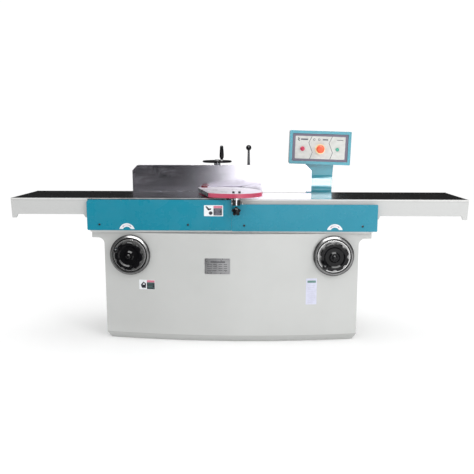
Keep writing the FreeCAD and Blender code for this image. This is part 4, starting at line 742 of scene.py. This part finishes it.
def name_plate():
    """Etched nickel plate held by four rivets."""
    left, right = -177 * MM, -37 * MM
    bottom, top = 388 * MM, 476 * MM
    thick = 0.8 * MM
    label = Label("name_plate_blank", on_cabinet, 12 * MM)
    label.sheet(rectangle(left, bottom, right, top, 5 * MM), 0, thick, "nickel")
    border = 5 * MM
    label.sheet(rectangle(left + border, bottom + border, right - border, top - border, 3 * MM),
                thick, thick + PRINT, "etched")
    label.sheet(rectangle(left + border + 1 * MM, bottom + border + 1 * MM, right - border - 1 * MM,
                          top - border - 1 * MM, 3 * MM), thick + PRINT, thick + 2 * PRINT, "nickel")
    label.sheet(rectangle(left + 32 * MM, top - 24 * MM, right - 28 * MM, top - 16 * MM), thick + 2 * PRINT,
                thick + 3 * PRINT, "etched")
    pitch = 11 * MM
    for row in range(4):
        z = top - 34 * MM - row * pitch
        for start, end in ((14, 40), (46, 66), (76, 98), (104, 124)):
            label.sheet(rectangle(left + start * MM, z - 1.6 * MM, left + end * MM, z + 1.6 * MM),
                        thick + 2 * PRINT, thick + 3 * PRINT, "etched")
    for x in (left + 4.5 * MM, right - 4.5 * MM):
        for z in (bottom + 4.5 * MM, top - 4.5 * MM):
            label.sheet(disc(x, z, 2.2 * MM, 16), thick, thick + 1.1 * MM, "nickel")
    label.finish("root", "sheet_zinc")


def panel_overlay():
    """Printed film on the control plate, split in three fields by two chevron lines."""
    half_wide, half_tall = 153 * MM, 69 * MM
    label = Label("panel_overlay", on_panel)
    label.sheet(rectangle(-half_wide, -half_tall, half_wide, half_tall, 5 * MM), 0, FILM, "panel_film")
    for middle in (-58 * MM, 66 * MM):
        shape = ((6, 1.0), (-13, 0.42), (11, -0.42), (-3, -1.0))
        points = [(middle + x * MM, z * half_tall) for x, z in shape]
        label.sheet(ribbon(points, 3.4 * MM), FILM, FILM + PRINT, "line_ink")
    stop_low, stop_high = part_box("estop_button")
    u, v = panel_place((stop_low.x + stop_high.x) / 2, (stop_low.z + stop_high.z) / 2)
    label.sheet(disc(u, v, 31 * MM, 48), FILM, FILM + PRINT, "yellow_ink")
    mark_z = half_tall - 20 * MM
    label.sheet(ribbon([(-138 * MM, mark_z + 8 * MM), (-128 * MM, mark_z + 4 * MM), (-137 * MM, mark_z),
                        (-128 * MM, mark_z - 9 * MM)], 7.0 * MM), FILM, FILM + PRINT, "black_ink")
    for left, right, height in ((-120, -76, 8.5), (14, 46, 7.5), (100, 140, 3.6)):
        half = height / 2 * MM
        bar = rectangle(left * MM, mark_z - half, right * MM, mark_z + half, 1 * MM)
        label.sheet(bar, FILM, FILM + PRINT, "line_ink")
    for x in (-38, -8):
        label.sheet(arc_band(x * MM, mark_z, 4.0 * MM, 7.0 * MM, 0, 350, 24), FILM, FILM + PRINT, "line_ink")
    label.finish("root", "plate_paint")


def panel_place(x, z):
    """Panel coordinates of a place given by x and z."""
    dx, dz = x - PANEL_X, z - PANEL_Z
    return (dx * math.cos(PANEL_LEAN) - dz * math.sin(PANEL_LEAN),
            dx * math.sin(PANEL_LEAN) + dz * math.cos(PANEL_LEAN))


def ribbon(points, width):
    """Outline of a bent line of even width."""
    left, right = [], []
    for index, point in enumerate(points):
        before = Vector(points[max(index - 1, 0)])
        after = Vector(points[min(index + 1, len(points) - 1)])
        across = (after - before).normalized()
        across = Vector((-across.y, across.x)) * width / 2
        left.append(tuple(Vector(point) + across))
        right.append(tuple(Vector(point) - across))
    return left + right[::-1]


def labels():
    for side, shift in (("left", -14 * MM), ("right", 3 * MM)):
        low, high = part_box("handwheel_" + side)
        direction_label("direction_label_" + side, (low.x + high.x) / 2 + shift)
    apron_label()
    cabinet_label()
    data_label()
    name_plate()
    panel_overlay()


# ---- Camera, lights and stage -----------------------------------------------------------------
def camera():
    data = bpy.data.cameras.new("camera")
    data.sensor_width = 36.0
    data.lens = 46.6
    eye = bpy.data.objects.new("camera", data)
    bpy.context.scene.collection.objects.link(eye)
    eye.location = (0.103, TABLE_Y - 3.329, 1.149)
    eye.rotation_euler = (math.radians(90 - 9.58), 0, math.radians(1.79))
    bpy.context.scene.camera = eye


def card(name, size_x, size_z, place, turn, stops):
    """A flat card or softbox seen only in reflections; stops give its glow from left to right."""
    mesh = bpy.data.meshes.new(name)
    x, z = size_x / 2, size_z / 2
    mesh.from_pydata([(-x, 0, -z), (x, 0, -z), (x, 0, z), (-x, 0, z)], [], [(0, 1, 2, 3)])
    glow_stage(name, mesh, place, turn, size_x, stops)


def glow_stage(name, mesh, place, turn, size_x, stops):
    piece = bpy.data.objects.new(name, mesh)
    bpy.context.scene.collection.objects.link(piece)
    piece.location = place
    piece.rotation_euler = [math.radians(angle) for angle in turn]
    m = Material(name, (0, 0, 0), 1.0)
    along = m.math("ADD", m.axis("X"), size_x / 2)
    glow = m.add("ShaderNodeEmission")
    full = max(grey for _, grey in stops)
    m.link(m.bands(along, size_x, [(at, grey / full) for at, grey in stops]), glow.inputs["Color"])
    glow.inputs["Strength"].default_value = full
    m.tree.nodes.remove(m.shader)
    m.tree.links.new(glow.outputs[0], m.tree.nodes["Material Output"].inputs["Surface"])
    mesh.materials.append(m.data)
    piece.visible_camera = False
    piece.visible_diffuse = False
    piece.visible_shadow = False
    piece.visible_transmission = False


def tent(grey):
    """A dim box around the whole scene, so that dark gloss and bare metal have contrast."""
    half = 9.0
    low, high = -0.02, 7.0
    plan = ((-half, -half), (half, -half), (half, half), (-half, half))
    corners = [(x, y, z) for z in (low, high) for x, y in plan]
    mesh = bpy.data.meshes.new("dim_tent")
    walls = [(0, 1, 5, 4), (1, 2, 6, 5), (2, 3, 7, 6), (3, 0, 4, 7), (4, 5, 6, 7)]
    mesh.from_pydata(corners, [], walls)
    glow_stage("dim_tent", mesh, (0, 0, 0), (0, 0, 0), 2 * half, ((0.0, grey), (2 * half, grey)))


def area_light(name, place, target, size, power):
    data = bpy.data.lights.new(name, "AREA")
    data.shape = "RECTANGLE"
    data.size, data.size_y = size
    data.energy = power
    lamp = bpy.data.objects.new(name, data)
    bpy.context.scene.collection.objects.link(lamp)
    lamp.location = place
    lamp.rotation_euler = (Vector(target) - Vector(place)).to_track_quat("-Z", "Y").to_euler()


def studio():
    scene = bpy.context.scene
    scene.view_settings.view_transform = "Standard"
    world = bpy.data.worlds.new("studio")
    scene.world = world
    world.use_nodes = True
    background = world.node_tree.nodes["Background"]
    background.inputs["Color"].default_value = (1, 1, 1, 1)
    background.inputs["Strength"].default_value = 1.04
    pale_floor()
    area_light("key", (3.2, -3.6, 2.8), (0.4, 0, 0.45), (2.0, 2.0), 58)
    area_light("top", (0.0, 0.4, 3.6), (0, 0, 0.6), (4.0, 2.5), 14)
    reflections()


def pale_floor():
    floor_mesh = bpy.data.meshes.new("floor")
    half = 14.0
    floor_mesh.from_pydata([(-half, -half, 0), (half, -half, 0), (half, half, 0), (-half, half, 0)],
                           [], [(0, 1, 2, 3)])
    floor = bpy.data.objects.new("floor", floor_mesh)
    bpy.context.scene.collection.objects.link(floor)
    pale = Material("pale_floor", (0.97, 0.97, 0.97), 0.8, specular=0.0)
    pale.link(pale.mix(pale.remap(pale.noise(0.8, 4.0), 0.3, 0.7), (0.96, 0.96, 0.96), (0.98, 0.98, 0.98)),
              "Base Color")
    floor_mesh.materials.append(pale.data)


def reflections():
    """What gloss and bare metal mirror: a dim tent, dark and bright walls, and softboxes."""
    tent(0.12)
    dark_ends = ((0.0, 0.012), (8.0, 0.012), (8.2, 0.9), (8.9, 0.9), (9.1, 0.012), (16.0, 0.012))
    card("backdrop", 16.0, 1.9, (0, 4.2, 1.25), (0, 0, 0), dark_ends)
    card("front_wall", 6.0, 1.2, (1.0, -4.05, 1.02), (0, 0, 0),
         ((0.0, 0.012), (0.9, 0.016), (1.34, 0.07), (1.64, 0.36), (1.92, 2.0), (6.0, 2.0)))
    card("front_wall_low", 6.0, 0.4, (1.0, -4.05, 0.22), (0, 0, 0),
         ((0.0, 0.03), (1.2, 0.04), (1.85, 0.7), (2.15, 2.3), (3.35, 2.8), (3.52, 4.6), (3.68, 4.6),
          (3.9, 0.8), (6.0, 0.8)))
    card("dark_floor_left", 3.6, 3.2, (-2.0, -2.1, 0.01), (90, 0, 0), ((0.0, 0.03), (3.2, 0.04), (3.6, 0.4)))
    card("overhead_softbox", 3.2, 2.3, (0.2, -1.5, 3.2), (90, 0, 0), ((0.0, 12.0), (3.2, 12.0)))
    card("spot_reflection", 0.5, 0.5, (1.3, -2.6, 2.6), (45, 0, 27), ((0.0, 160.0), (0.5, 160.0)))


def build():
    camera()
    studio()
    dress_cad_nodes()
    labels()


build()
